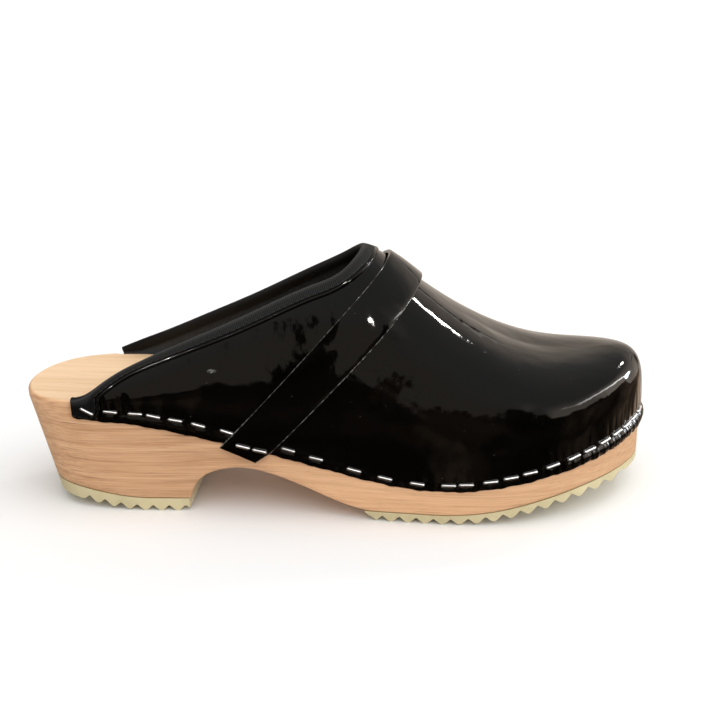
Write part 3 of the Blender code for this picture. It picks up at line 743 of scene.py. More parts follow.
# Rubber treads
# Two sheets of pale greenish rubber with ribs across, glued under heel and forefoot and sanded flush with the
# wood. The ribs are blunt wedges with round valleys, and the back of the heel and the very toe are plain.
RIB_PITCH, RIB_DEPTH, RIB_FLAT = 7.0, 2.7, 1.3
HEEL_TIPS = 31.8 + RIB_PITCH * np.arange(6)
FOREFOOT_TIPS = 158.0 + RIB_PITCH * np.arange(14)
LIP_DROP, HEEL_LIP_DROP = 1.3, 0.9
FOREFOOT_BACK, BACK_SLOPE = 146.8, 0.74     # where the rubber starts, sanded in line with the arch
BACK_EDGE = 0.1         # height of the edge that this leaves
RIB_ROUND = 0.32        # spread of the rounding of tips and valleys
ROUND_REACH, ROUND_SAMPLES = 2.5, 21        # spreads that it takes in, and samples over them
TREAD_ACROSS = np.concatenate([(0.0, 0.006, 0.02), np.linspace(0.05, 0.95, 19), (0.98, 0.994, 1.0)])
HEEL_FAN_TO, TOE_FAN_FROM = 26.0, 250.0     # stations fan out by angle at the round ends
HEEL_STATIONS, FOREFOOT_STATIONS = (40, 150), (330, 60)     # in the fan and outside it, from the back on
TREAD_LEVELS = 5        # rows up the sides
GRID_EDGES = (np.s_[:, 0], np.s_[:, -1], np.s_[0, :], np.s_[-1, :])


def rib_heights(x, tips, drops):
    """Height of the ribbed underside above the floor line."""
    flank = (RIB_PITCH - RIB_FLAT) / 2
    points = [(tips[0] - RIB_PITCH / 2 - flank, drops[0])]
    for tip in tips:
        points.append((tip - RIB_PITCH / 2, RIB_DEPTH))
        points.append((tip - RIB_FLAT / 2, 0.0))
        points.append((tip + RIB_FLAT / 2, 0.0))
    points.append((tips[-1] + RIB_PITCH / 2, RIB_DEPTH))
    points.append((tips[-1] + RIB_PITCH / 2 + flank, drops[1]))
    px, pz = np.array(points).T
    spread = np.linspace(-ROUND_REACH, ROUND_REACH, ROUND_SAMPLES)
    weights = np.exp(-spread ** 2 / 2)
    rounded = np.interp(x[..., None] + spread * RIB_ROUND, px, pz) @ weights / weights.sum()
    return np.maximum(rounded, 0.0)


def tread_plan(angle, side, height):
    """Plan points of the tread's side at a height, in line with the leaning side of the wood."""
    x = station_x(angle)
    lean = (edge_height(x) - height) / (edge_height(x) - sole_bottom(x))
    return outline(angle, side, -undercut(x) * lean)


def build_tread(name, angles, tips, rubber, drops, back=None):
    """Rubber sheet with ribs, from station angles along it; back is where a sanded end starts."""
    def face(height_of):
        x = station_x(angles)
        rows = [tread_plan(angles, side, height_of(x)) for side in (OUTER, INNER)]
        plan = rows[0][:, None] + (rows[1] - rows[0])[:, None] * TREAD_ACROSS[None, :, None]
        return with_height(plan, height_of(plan[..., 0]))

    def bottom(x):
        ribbed = floor_line(x) + rib_heights(x, tips, drops)
        if back is None:
            return ribbed
        return np.maximum(ribbed, rubber - GAP / 2 - BACK_EDGE - (x - back) * BACK_SLOPE)

    def top(x):
        return floor_line(x) + rubber - GAP / 2

    lower, upper = face(bottom), face(top)
    levels = np.linspace(0.0, 1.0, TREAD_LEVELS)[:, None, None]
    grids = [lower, upper]
    for edge_line in GRID_EDGES:
        grids.append(lower[edge_line][None] + (upper[edge_line] - lower[edge_line])[None] * levels)
    return new_piece(name, grids, sharp_angle=55)


heel_angles = np.concatenate([
    np.linspace(0.0, angle_at(HEEL_FAN_TO), HEEL_STATIONS[0]),
    angle_at(np.linspace(HEEL_FAN_TO, HEEL_FRONT, HEEL_STATIONS[1])[1:]),
])
forefoot_angles = np.concatenate([
    angle_at(np.linspace(FOREFOOT_BACK, TOE_FAN_FROM, FOREFOOT_STATIONS[0])),
    np.linspace(angle_at(TOE_FAN_FROM), np.pi, FOREFOOT_STATIONS[1])[1:],
])
heel_tread = build_tread("heel_rubber", heel_angles, HEEL_TIPS, HEEL_RUBBER, (0.0, HEEL_LIP_DROP))
forefoot_tread = build_tread(
    "forefoot_rubber", forefoot_angles, FOREFOOT_TIPS, FOREFOOT_RUBBER, (0.0, LIP_DROP), FOREFOOT_BACK,
)

RUBBER_PALE = (0.62, 0.54, 0.33, 1.0)
RUBBER_DULL = (0.53, 0.455, 0.265, 1.0)


def add_sockets(tree, in_out, kinds):
    """Named inputs or outputs of a group, with their kinds."""
    for name, kind in kinds.items():
        tree.interface.new_socket(name, in_out=in_out, socket_type="NodeSocket" + kind)


def fine_grain():
    """Shader group: a fine irregular surface, as fine-pored leather, rubber or cloth has."""
    group = bpy.data.node_groups.new("fine_grain", "ShaderNodeTree")
    add_sockets(group, "INPUT", {"Place": "Vector", "Grains per metre": "Float"})
    add_sockets(group, "OUTPUT", {"Height": "Float", "Patches": "Float"})
    given = node(group, "NodeGroupInput").outputs
    grains = noise(group, given["Place"], given["Grains per metre"], 3.0, 0.55)
    wide = times(group, given["Grains per metre"], 0.04)
    patches = noise(group, given["Place"], wide, 2.0)
    node(group, "NodeGroupOutput", {"Height": grains, "Patches": patches})
    return group


grain_group = fine_grain()


def grain_of(tree, place, per_metre):
    """Height and patches of that surface, with so many grains per metre."""
    values = {"Place": place, "Grains per metre": per_metre}
    return node(tree, "ShaderNodeGroup", values, node_tree=grain_group).outputs


rubber, tree, shader, place = new_material("rubber")
grain = grain_of(tree, place, 1800.0)
tone = ramp(tree, grain["Patches"], 0.3, 0.7)
feed(tree, shader, {
    "Base Color": mix_colours(tree, tone, RUBBER_PALE, RUBBER_DULL),
    "Roughness": ramp(tree, grain["Height"], 0.3, 0.7, 0.45, 0.62),
    "Specular IOR Level": 0.4,
    "Normal": bump(tree, grain["Height"], 0.00005),
})
dress(heel_tread, rubber, "rubber", "heel_tread")
dress(forefoot_tread, rubber, "rubber", "forefoot_tread")

# Upper
# One piece of black patent leather, pulled over the last and stapled to the step in the wood. Its lower
# margin is puckered between the staples, most of all round the toe, and the lacquer is a little wavy.
BAND_RISE = 0.6         # the leather stands straight up to this far above the rim
STAND_OFF = LEATHER + GAP - REBATE
SKIN = 1.45             # the leather alone; the lining makes up the rest of the wall

# Sections of the upper: where each meets the ridge, and how square it is (2 is an ellipse)
SECTIONS = columns("x ridge_x ridge_y squareness", [
    (27, 27.0, 0.0, 2.0),
    (90, 90.0, 0.0, 2.0),
    (148.5, 148.5, 0.0, 2.0),
    (180, 179.0, 0.5, 2.1),
    (210, 204.0, 1.8, 2.3),
    (240, 229.0, 3.2, 2.8),
    (LENGTH, 247.0, 4.5, 3.6),
])

# Top line of the last that the upper is formed on
RIDGE = columns("x height", [
    (27, 65.0),
    (50, 70.0),
    (70, 79.5),
    (90, 88.5),
    (115, 98.0),
    (135, 104.3),
    (148.5, 106.2),
    (160, 99.2),
    (175, 86.9),
    (190, 75.6),
    (205, 66.4),
    (220, 61.0),
    (247, 60.0),
])

# Height of the collar edge on each side; the two sides meet on the ridge at the throat
COLLAR = columns("x outer inner", [
    (27, 50.5, 48.8),
    (33, 52.3, 51.5),
    (41, 57.5, 55.1),
    (55, 64.6, 61.1),
    (75, 72.7, 69.8),
    (100, 82.6, 80.8),
    (128, 94.2, 94.4),
    (142, 100.6, 101.6),
    (THROAT, 106.2, 106.2),
])

ridge_x = curve_through(SECTIONS["x"], SECTIONS["ridge_x"])
ridge_y = curve_through(SECTIONS["x"], SECTIONS["ridge_y"])
squareness = curve_through(SECTIONS["x"], SECTIONS["squareness"])
ridge_height = curve_through(RIDGE["x"], RIDGE["height"])
collar_outer = curve_through(COLLAR["x"], COLLAR["outer"])
collar_inner = curve_through(COLLAR["x"], COLLAR["inner"])


def upper_point(side, angle, v):
    """Points on the outer face of the last.

    v is -1 at the lower edge, 0 where the wall starts to curve in and 1 on the ridge; past 1 it comes down on
    the other side.
    """
    side, angle, v = np.broadcast_arrays(side, angle, v)
    side = np.where(v > 1, -side, side)
    v = np.where(v > 1, 2 - v, v)
    station = station_x(angle)
    plan = outline(angle, side, STAND_OFF)
    start = rim_height(station) + BAND_RISE
    top = np.stack([ridge_x(station), ridge_y(station)], axis=-1)
    power = squareness(station)
    turn = np.maximum(v, 0.0) * np.pi / 2
    c, s = np.maximum(np.cos(turn), 0.0), np.sin(turn)
    reach = (c ** power + s ** power) ** (-1 / power)
    rise = (ridge_height(top[..., 0]) - start) * s * reach
    drop = np.minimum(v, 0.0) * (start - edge_height(station))
    return with_height(top + (plan - top) * (c * reach)[..., None], start + rise + drop)


def upper_slopes(side, angle, v):
    """The two directions along the upper at each point."""
    along = upper_point(side, angle + TINY, v) - upper_point(side, angle - TINY, v)
    up = upper_point(side, angle, v + TINY) - upper_point(side, angle, v - TINY)
    return along / (2 * TINY), up / (2 * TINY)


def upper_normal(side, angle, v):
    """Outward direction of the upper at each point."""
    along, up = upper_slopes(side, angle, v)
    return unit(-np.expand_dims(np.asarray(side), -1) * np.cross(along, up))


def collar_v(side, angle):
    """v of the collar edge behind the throat, and of the ridge in front of it."""
    station = station_x(angle)
    behind = np.minimum(station, THROAT)
    start = rim_height(behind) + BAND_RISE
    collar = np.where(np.asarray(side) == OUTER, collar_outer(behind), collar_inner(behind))
    share = np.clip((collar - start) / (ridge_height(ridge_x(behind)) - start), HAIR, 1.0)
    power = squareness(behind)
    v = np.arctan2(1.0, (share ** -power - 1) ** (1 / power)) / (np.pi / 2)
    return np.where(station >= THROAT, 1.0, v)


# Places of the staples along either edge, and how far they stand above it
OUTER_STAPLES = (
    34, 43.5, 54, 61.5, 70.5, 80, 91.8, 117, 128.5, 144, 156.5, 169.5, 182, 189, 198.5, 206.5, 214,
    223, 231.5, 238, 244.5, 250, 254.5, 258, 261,
)
INNER_STAPLE_RUNS = ((262.8, 117.0, 16), (81.0, 40.0, 5))   # front x, back x and number, evenly spaced
STAPLE_RISE = columns("x rise", [
    (30, 3.9),
    (90, 5.4),
    (130, 3.6),
    (185, 2.8),
    (215, 3.9),
    (245, 5.2),
    (LENGTH, 6.2),
])
staple_rise = curve_through(STAPLE_RISE["x"], STAPLE_RISE["rise"])

# Length along the leather's lower edge, from the toe back, for each side
EDGE_BACK, EDGE_STATIONS = 20.0, 900        # x where it ends, and points along it
edge_angles = np.linspace(angle_at(EDGE_BACK), np.pi, EDGE_STATIONS)
edge_steps = {}
for side in (OUTER, INNER):
    edge_steps[side] = lengths_along(outline(edge_angles, side, STAND_OFF)[::-1])[::-1]


def edge_length(side, angle):
    """Length along the edge from the toe to a station angle."""
    return np.interp(angle, edge_angles, edge_steps[side])


def edge_angle(side, length):
    """Station angle at a length along the edge from the toe."""
    return np.interp(-np.asarray(length, float), -edge_steps[side], edge_angles)


inner_lengths = []
for front, back, count in INNER_STAPLE_RUNS:
    run_from, run_to = edge_length(INNER, angle_at(front)), edge_length(INNER, angle_at(back))
    inner_lengths += list(np.linspace(run_from, run_to, count))
staple_angles = {OUTER: angle_at(OUTER_STAPLES), INNER: edge_angle(INNER, inner_lengths)}

# Soft folds and dents of the leather on the outer side: middle, length, width, depth and lean from upright
FOLDS = columns("x z length width depth lean", [
    (38.5, 49.0, 9.0, 1.5, 0.50, 4),
    (49.0, 50.0, 10.0, 1.8, 0.40, -6),
    (66.0, 49.0, 9.0, 2.4, 0.18, 10),
    (84.0, 52.0, 16.0, 6.0, 0.22, 55),
    (123.0, 47.0, 22.0, 5.0, 0.20, 70),
    (172.0, 58.0, 24.0, 5.0, 0.16, 80),
    (214.0, 47.0, 14.0, 4.0, 0.20, 30),
    (232.0, 42.0, 10.0, 3.0, 0.22, 15),
])
FOLD_RIDGE, FOLD_RIDGE_AWAY = 0.5, 2.2      # the ridge beside each trough: share of its depth, widths away
PULL, PULL_LENGTH = 0.42, 3.4               # hollow that a staple presses into the leather
PULL_UP, PULL_DOWN = 0.5, 1.6               # how far it reaches above and below the wire
PULL_DROP = 0.15                            # its deepest line lies this far below the wire
SEAM_PULL, SEAM_UP, SEAM_DOWN = 0.28, 1.1, 2.2      # and the pull all along the line of staples
PLEAT, PLEAT_TOE, PLEAT_LENGTH = 0.16, 0.55, 4.1    # puckers of the margin, more of them at the toe
PLEAT_MEAN = 0.55                           # level that they swing about
PLEAT_HELD = 0.35                           # share that a staple takes away
PLEAT_ABOVE = 0.18                          # share that is left above the staples
WANDER = ((1.9, 13.7, 0.0), (0.8, 5.1, 0.7))        # they are uneven: size, length and start of two waves
FINE, FINE_LENGTH, FINE_WANDER = 0.24, 1.9, 0.6     # fine puckers between them at the toe
FINE_SWAY, FINE_SWAY_LENGTH = 0.9, 3.3
BULGE, BULGE_TOE = 0.15, 0.95               # how far the margin swells below the staples
TOE_FROM, TOE_FULL = 205.0, 250.0

# Where these lie, as shares of the staples' height above the edge: middle and reach
MARGIN_AT, ABOVE_AT, BULGE_AT = (0.25, 0.95), (1.7, 0.9), (0.42, 0.36)


def relief(side, angle, points):
    """How far the leather stands out of the last's own surface."""
    x = station_x(angle)
    height = points[..., 2] - edge_height(x)
    rise = staple_rise(x)
    length = edge_length(side, angle)
    toe = smooth((x - TOE_FROM) / (TOE_FULL - TOE_FROM))
    signed = side * length
    near = np.zeros_like(length)
    pulled = np.zeros_like(length)
    for place_along in edge_length(side, staple_angles[side]):
        closeness = np.exp(-((length - place_along) / PULL_LENGTH) ** 4)
        near = np.maximum(near, closeness)
        pulled += closeness

    def hump(middle, reach):
        return np.exp(-((height - middle * rise) / (reach * rise)) ** 2)

    from_line = height - rise + PULL_DROP
    reach = np.where(from_line > 0, PULL_UP, PULL_DOWN)
    seam_reach = np.where(from_line > 0, SEAM_UP, SEAM_DOWN)
    out = -PULL * pulled * np.exp(-(from_line / reach) ** 2)
    out -= SEAM_PULL * (1 + toe) * np.exp(-(from_line / seam_reach) ** 2)
    wander = sum(size * np.sin(signed / wave + start) for size, wave, start in WANDER)
    pleat = np.abs(np.sin(np.pi * (signed + wander) / PLEAT_LENGTH)) - PLEAT_MEAN
    sway = FINE_SWAY * np.sin(signed / FINE_SWAY_LENGTH)
    fine = np.sin(2 * np.pi * (signed + FINE_WANDER * wander) / FINE_LENGTH + sway)
    margin = hump(*MARGIN_AT)
    puckers = pleat * margin * (1 - PLEAT_HELD * near) + FINE * fine * margin * toe
    puckers += PLEAT_ABOVE * pleat * hump(*ABOVE_AT)
    out += (PLEAT + (PLEAT_TOE - PLEAT) * toe) * puckers
    out += (BULGE + (BULGE_TOE - BULGE) * toe) * hump(*BULGE_AT)
    if side == OUTER:
        for fold_x, fold_z, fold_length, width, depth, lean in zip(*FOLDS.values()):
            turn = math.radians(lean)
            dx, dz = points[..., 0] - fold_x, points[..., 2] - fold_z
            along = dx * math.sin(turn) + dz * math.cos(turn)
            across = dx * math.cos(turn) - dz * math.sin(turn)
            ridge = FOLD_RIDGE * np.exp(-((across - FOLD_RIDGE_AWAY * width) / width) ** 2)
            trough = np.exp(-(across / width) ** 2) - ridge
            out -= depth * trough * np.exp(-(along / (fold_length / 2)) ** 4)
    return out


WING_CROWDING = 0.75    # stations of the wings draw together towards both ends
WING_STATIONS, VAMP_STATIONS = 140, 320
BAND_ROWS, CURVE_ROWS, INSIDE_ROWS, CUT_ROWS = 24, 56, 16, 4
CURVE_CROWDING = 1.15   # the rows draw together towards the band
RAGGED = ((0.18, 2.3, 0.0, 1.1, 7.0), (0.12, 0.9, 2.0, 0.0, 1.0))  # size, length, start, sway and its length
RAGGED_FADE = 0.8       # it dies out over this height
PAST_THROAT = THROAT + HAIR     # the throat itself counts with the wings


def wing_angles(side, count):
    """Stations of one wing, from its end to the throat."""
    shares = np.linspace(0.0, 1.0, count)
    shares = shares - WING_CROWDING * np.sin(2 * np.pi * shares) / (2 * np.pi)
    return angle_at(WING_END[side] + (THROAT - WING_END[side]) * shares)


def half_angles(side, wing_count, vamp_count):
    """Stations of one half of the upper, from the end of the wing to the nose."""
    return np.concatenate([
        wing_angles(side, wing_count), np.linspace(angle_at(THROAT), np.pi, vamp_count)[1:],
    ])


def leather_rows(side, angle):
    """v of each row: close together in the puckered band, and up to the collar or the ridge."""
    top = collar_v(side, angle)[:, None]
    band = np.linspace(-1.0, 0.0, BAND_ROWS)[None] * np.ones_like(top)
    shares = np.linspace(0.0, 1.0, CURVE_ROWS)[1:]
    return np.concatenate([band, top * shares[None] ** CURVE_CROWDING], axis=1)


def ragged(side, angle):
    """The lower edge is cut by hand, so it wanders a little."""
    s = side * edge_length(side, angle)
    waves = (
        size * np.sin(s / length + start + sway * np.sin(s / sway_length))
        for size, length, start, sway, sway_length in RAGGED
    )
    return sum(waves)


def leather_grids():
    """Outside, inside and rims of both halves, which meet at the nose; the back ends are left open."""
    halves = []
    for side in (OUTER, INNER):
        angle = half_angles(side, WING_STATIONS, VAMP_STATIONS)
        v = leather_rows(side, angle)
        spread = np.broadcast_to(angle[:, None], v.shape)
        points = upper_point(side, spread, v)
        normal = upper_normal(side, spread, v)
        outside = points + normal * relief(side, spread, points)[..., None]
        low = np.exp(-(points[..., 2] - edge_height(station_x(spread))) / RAGGED_FADE)
        outside[..., 2] += low * ragged(side, spread)
        pick = np.unique(np.linspace(0, v.shape[1] - 1, INSIDE_ROWS).round().astype(int))
        inside = (points - normal * SKIN)[:, pick]
        inside[:, 0, 2] = outside[:, 0, 2]
        halves.append((outside, inside, station_x(angle) <= PAST_THROAT))
    for layer in (0, 1):
        nose = (halves[0][layer][-1] + halves[1][layer][-1]) / 2
        halves[0][layer][-1] = nose
        halves[1][layer][-1] = nose
    grids = []
    rim_steps = np.linspace(0.0, 1.0, CUT_ROWS)[None, :, None]
    for outside, inside, behind in halves:
        lower_rim = outside[:, :1] + (inside[:, :1] - outside[:, :1]) * rim_steps
        upper_rim = outside[:, -1:] + (inside[:, -1:] - outside[:, -1:]) * rim_steps
        grids += [outside, inside, lower_rim, upper_rim[behind]]
    return grids


upper = new_piece("upper_leather", leather_grids(), sharp_angle=60, fill_ends=True)

LACQUER_BLACK = (0.0012, 0.0011, 0.001, 1.0)
PALE_MARK_AND_GLINT = (0.34, 0.335, 0.32, 1.0)      # raw leather at the cut edges, the specks and the scuff; along the strap's long edges its dotted pale line is a painted glint
SCUFF_SPOT = (-0.0457, -0.045, 0.0634)   # middle of the small scuff on the outer wing
SCUFF_SHARES = (450.0, 20.0, 1100.0)     # one over its half length, reach and half height
patent, tree, shader, place = new_material("patent_leather")
grain = grain_of(tree, place, 520.0)
peel = noise(tree, place, 210.0, 1.0, 0.4)
swell = noise(tree, place, 42.0, 2.0, 0.4)
dust = ramp(tree, grain["Patches"], 0.42, 0.75, 0.05, 0.11)
waves = bump(tree, swell, 0.0009)
peel_normal = bump(tree, peel, 0.00007, under=waves)
patent_normal = bump(tree, grain["Height"], 0.00002, under=peel_normal)
cut = mark_of(tree, "cut")
# Painted glints: the strap's cut edges turn pale in dots, partly raw leather and partly painted highlight
raw_edge_and_glints = times(tree, cut, ramp(tree, noise(tree, place, 700.0), 0.46, 0.62, 0.12, 1.0))
speck = ramp(tree, noise(tree, place, 1300.0, 0.0), 0.875, 0.90, 0.0, 0.3)
from_scuff = first_of(tree, "ShaderNodeVectorMath", {0: place, 1: SCUFF_SPOT}, operation="SUBTRACT")
scuff_reach = node(
    tree, "ShaderNodeVectorMath", {0: stretched(tree, from_scuff, SCUFF_SHARES)}, operation="LENGTH",
).outputs["Value"]
scuff_rough = ramp(tree, noise(tree, place, 1100.0, 1.0), 0.40, 0.58, 0.1, 0.9)
scuff = times(tree, ramp(tree, scuff_reach, 0.5, 1.1, 1.0, 0.0), scuff_rough)
pale = math_node(tree, "MAXIMUM", math_node(tree, "MAXIMUM", raw_edge_and_glints, speck), scuff)
feed(tree, shader, {
    "Base Color": mix_colours(tree, pale, LACQUER_BLACK, PALE_MARK_AND_GLINT),
    "Roughness": math_node(tree, "MULTIPLY_ADD", cut, 0.3, dust), "Specular IOR Level": 0.5, "IOR": 1.5,
    "Coat Weight": 0.25, "Coat Roughness": 0.02,
    "Normal": patent_normal, "Coat Normal": peel_normal,
})


def lacquer(piece, *nodes):
    """Dress a piece in patent leather; the soft light stays out of its mirror."""
    dress(piece, patent, "patent_leather", *nodes)
    leave_out(lacquered, piece)


lacquer(upper, "upper")
strap_only = bpy.data.collections.new("strap_only")        # the front lamp misses the upper and the floor
front_lamp.light_linking.receiver_collection = strap_only
leave_out(strap_only, upper, floor)

# Lining
# Thin black cloth glued to the inside of the leather; it shows through the open back and at the throat.
LINING, LINING_GAP = 0.45, 0.06
LINING_FOOT = -0.85             # v of its lower edge
LINING_WING, LINING_VAMP, LINING_ROWS = 60, 70, 30
lining_grids = []
for side in (OUTER, INNER):
    angle = half_angles(side, LINING_WING, LINING_VAMP)
    top = collar_v(side, angle)[:, None]
    v = LINING_FOOT + (top - LINING_FOOT) * np.linspace(0.0, 1.0, LINING_ROWS)[None]
    spread = np.broadcast_to(angle[:, None], v.shape)
    points, normal = upper_point(side, spread, v), upper_normal(side, spread, v)
    faces = [points - normal * (SKIN + LINING_GAP + depth) for depth in (0.0, LINING)]
    behind = station_x(angle) <= PAST_THROAT
    lining_grids += faces
    lining_grids.append(np.stack([face[:, 0] for face in faces], axis=1))
    lining_grids.append(np.stack([face[behind, -1] for face in faces], axis=1))
    lining_grids.append(np.stack([face[0] for face in faces]))
lining = new_piece("upper_lining", lining_grids, sharp_angle=60)

CLOTH_BLACK = (0.017, 0.0182, 0.0196, 1.0)
CLOTH_WORN = (0.072, 0.078, 0.084, 1.0)
cloth, tree, shader, place = new_material("lining_cloth")
grain = grain_of(tree, place, 2600.0)
feed(tree, shader, {
    "Base Color": mix_colours(tree, ramp(tree, grain["Height"], 0.3, 0.7), CLOTH_BLACK, CLOTH_WORN),
    "Roughness": 0.92, "Specular IOR Level": 0.06,
    "Normal": bump(tree, grain["Height"], 0.0001),
})
dress(lining, cloth, "binding")

# Instep strap
# A strip of the same patent leather across the instep, cut between two slanted lines and stapled at both
# ends. It stands a little off the upper where it crosses the ridge, and raw leather shows at its cut edges,
# where its pale dots along the long edges are painted glints.
STRAP_WIDTH, STRAP_THICK, STRAP_GAP = 16.5, 1.7, 0.25
STRAP_FOOT = (99.1, 30.8)       # x and z of the middle of its outer end
STRAP_LEAN = math.radians(45.3)
STRAP_OVERHANG = (1.5, 4.4)     # how far its ends hang below the leather, back and front corner
STRAP_CLIP, STRAP_CLIP_LENGTH = 1.5, 0.55   # the front corner is cut off: how far in, and over how much v
STRAP_ROUND = 0.35              # rounding of its edges
ROUND_STEPS = np.array((0.0, 0.08, 0.3, 0.62, 1.0))
STRAP_CROWN = 0.25              # it is this much thicker in the middle
STRAP_BRIDGE, BRIDGE_REACH = 1.0, 0.16      # it stands this much further off on the ridge, over so much v
STRAP_END_ROWS, STRAP_ROWS, STRAP_COLUMNS = 18, 70, 13
STRAP_OVER_FROM = 0.02          # v of its first row above the band
STRAP_MARGIN = 2.0              # the even columns stay this far from the edges
SEARCH_FROM, SEARCH_TO, SEARCH_HALVINGS = 60.0, 210.0, 40


def strap_angle(side, v, offset):
    """Station angle where a line of the upper crosses the strap's plane at this offset."""
    low = np.full(np.broadcast(v, offset).shape, angle_at(SEARCH_FROM))
    high = np.full(low.shape, angle_at(SEARCH_TO))
    for _ in range(SEARCH_HALVINGS):
        middle = (low + high) / 2
        point = upper_point(side, middle, v)
        dx, dz = point[..., 0] - STRAP_FOOT[0], point[..., 2] - STRAP_FOOT[1]
        short = dx * math.sin(STRAP_LEAN) - dz * math.cos(STRAP_LEAN) < offset
        low, high = np.where(short, middle, low), np.where(short, high, middle)
    return (low + high) / 2


def strap_face(offset, lift):
    """Points along the strap for each offset, from the outer end over the instep to the inner end."""
    halves = []
    for side in (OUTER, INNER):
        station = station_x(strap_angle(side, np.array(-1.0), offset))
        back_hang, front_hang = STRAP_OVERHANG
        overhang = back_hang + (offset / STRAP_WIDTH + 0.5) * (front_hang - back_hang)
        end = -1 - overhang / (rim_height(station) + BAND_RISE - edge_height(station))
        share = np.linspace(0.0, 1.0, STRAP_END_ROWS)[:, None]
        over = np.linspace(STRAP_OVER_FROM, 1.0, STRAP_ROWS)[:, None]
        v = np.concatenate([end + (0.0 - end) * share, np.broadcast_to(over, (STRAP_ROWS, len(offset)))])
        front = np.maximum(offset, 0.0) / (STRAP_WIDTH / 2)
        clip = np.clip((end + STRAP_CLIP_LENGTH - v) / STRAP_CLIP_LENGTH, 0.0, 1.0)
        across = offset - STRAP_CLIP * front * clip
        angle = strap_angle(side, v, across)
        bridge = STRAP_BRIDGE * np.exp(-((1 - v) / BRIDGE_REACH) ** 2)
        normal = upper_normal(side, angle, v)
        half = upper_point(side, angle, v) + normal * (lift + bridge)[..., None]
        halves.append(half if side == OUTER else half[::-1][1:])
    return np.concatenate(halves)


strap_across = np.concatenate([
    -STRAP_WIDTH / 2 + STRAP_ROUND * ROUND_STEPS,
    np.linspace(-STRAP_WIDTH / 2 + STRAP_MARGIN, STRAP_WIDTH / 2 - STRAP_MARGIN, STRAP_COLUMNS),
    STRAP_WIDTH / 2 - STRAP_ROUND * ROUND_STEPS[::-1],
])
from_edge = np.minimum(STRAP_WIDTH / 2 - np.abs(strap_across), STRAP_ROUND) / STRAP_ROUND
crown = STRAP_CROWN * (1 - (2 * strap_across / STRAP_WIDTH) ** 2)
strap_lift = STRAP_GAP + STRAP_THICK + crown - STRAP_ROUND * (1 - np.sqrt(1 - (1 - from_edge) ** 2))
strap_top = strap_face(strap_across, strap_lift[None])
strap_back = strap_face(strap_across, np.full((1, len(strap_across)), STRAP_GAP))
strap_grids, cut_marks = [strap_top, strap_back], [1 - from_edge[None], np.zeros((1, 1))]
for edge_line in GRID_EDGES:
    strap_grids.append(np.stack([strap_top[edge_line], strap_back[edge_line]]))
    cut_marks.append(np.full((1, 1), float(edge_line[0] == np.s_[:])))
strap = new_piece("strap_leather", strap_grids, {"cut": cut_marks}, sharp_angle=60)
lacquer(strap, "instep_strap")
strap_shade = bpy.data.collections.new("strap_shade")       # the lamp beyond the toe misses the strap
leave_out(strap_shade, strap)
toe_lamp.light_linking.receiver_collection = strap_shade

# Collar tape
# A strip of matte, finely ribbed black tape folded over the collar edge and sewn along its lower side. At the
# end of each wing it widens down to the wood, and the first staple goes through it.
TAPE_THICK, TAPE_UNDER = 0.62, 0.08
TAPE_WIDTH = columns("x width", [
    (27, 1.6),
    (45, 2.1),
    (80, 3.4),
    (THROAT, 4.4),
])
TAPE_END_FROM, TAPE_END_TO = 9.8, 5.4      # it widens between these distances from the end of the wing
TAPE_END_MARGIN = 0.35                      # and stops this far above the leather's lower edge
TAPE_END_LEAN = 0.6                         # how far its end leans from upright to square with the collar
TAPE_FACE = columns("share lift", [
    (0.0, 1.0),
    (0.3, 1.0),
    (0.6, 0.97),
    (0.86, 0.93),
    (0.95, 0.75),
    (1.0, 0.15),
])
FOLD_TURNS = np.arange(0, 181, 15)          # degrees round the fold, on the tape's face and back
FOLD_BACK_TURNS = np.arange(180, -1, -45)
HIGHLIGHT_TURN, HIGHLIGHT_REACH = 18, 22.0            # a painted highlight runs pale along the fold, in degrees round it
HIGHLIGHT_INSIDE = (0.0, 0.0, 0.3, 0.8)          # and a painted highlight at the lower side of the inner flap
RIBS_FULL, RIBS_NONE = 24.0, 0.4            # the ribs come up over this length, after a share of it
INSIDE_FLAP = 3.8
INSIDE_SHARES = (0.3, 0.6, 0.9)             # rows down the inner flap, before its edge
INSIDE_MARGIN = 0.9             # the inner flap stays this far above the rim of the wood
INSIDE_SHORTEST = 0.3
FOLLOW_ROUNDS = 4
tape_width = curve_through(TAPE_WIDTH["x"], TAPE_WIDTH["width"])


def follow(side, angle, v, target):
    """Places on the upper nearest to points close by."""
    for _ in range(FOLLOW_ROUNDS):
        along, up = upper_slopes(side, angle, v)
        miss = target - upper_point(side, angle, v)
        aa, ab, bb = (along * along).sum(-1), (along * up).sum(-1), (up * up).sum(-1)
        ma, mb = (miss * along).sum(-1), (miss * up).sum(-1)
        size = aa * bb - ab * ab
        angle = angle + (ma * bb - mb * ab) / size
        v = v + (mb * aa - ma * ab) / size
    return angle, v


def collar_frame(side, angle):
    """v, edge point, outward and downward directions along the collar."""
    v = collar_v(side, angle)
    at = np.minimum(angle, angle_at(THROAT))
    before, after = at - TINY, np.minimum(at + TINY, angle_at(THROAT))
    step = upper_point(side, after, collar_v(side, after)) - upper_point(side, before, collar_v(side, before))
    step[station_x(angle) >= THROAT - HAIR] = (0.0, -side, 0.0)
    normal = upper_normal(side, angle, v)
    return v, upper_point(side, angle, v), normal, unit(np.cross(unit(-side * step), normal))


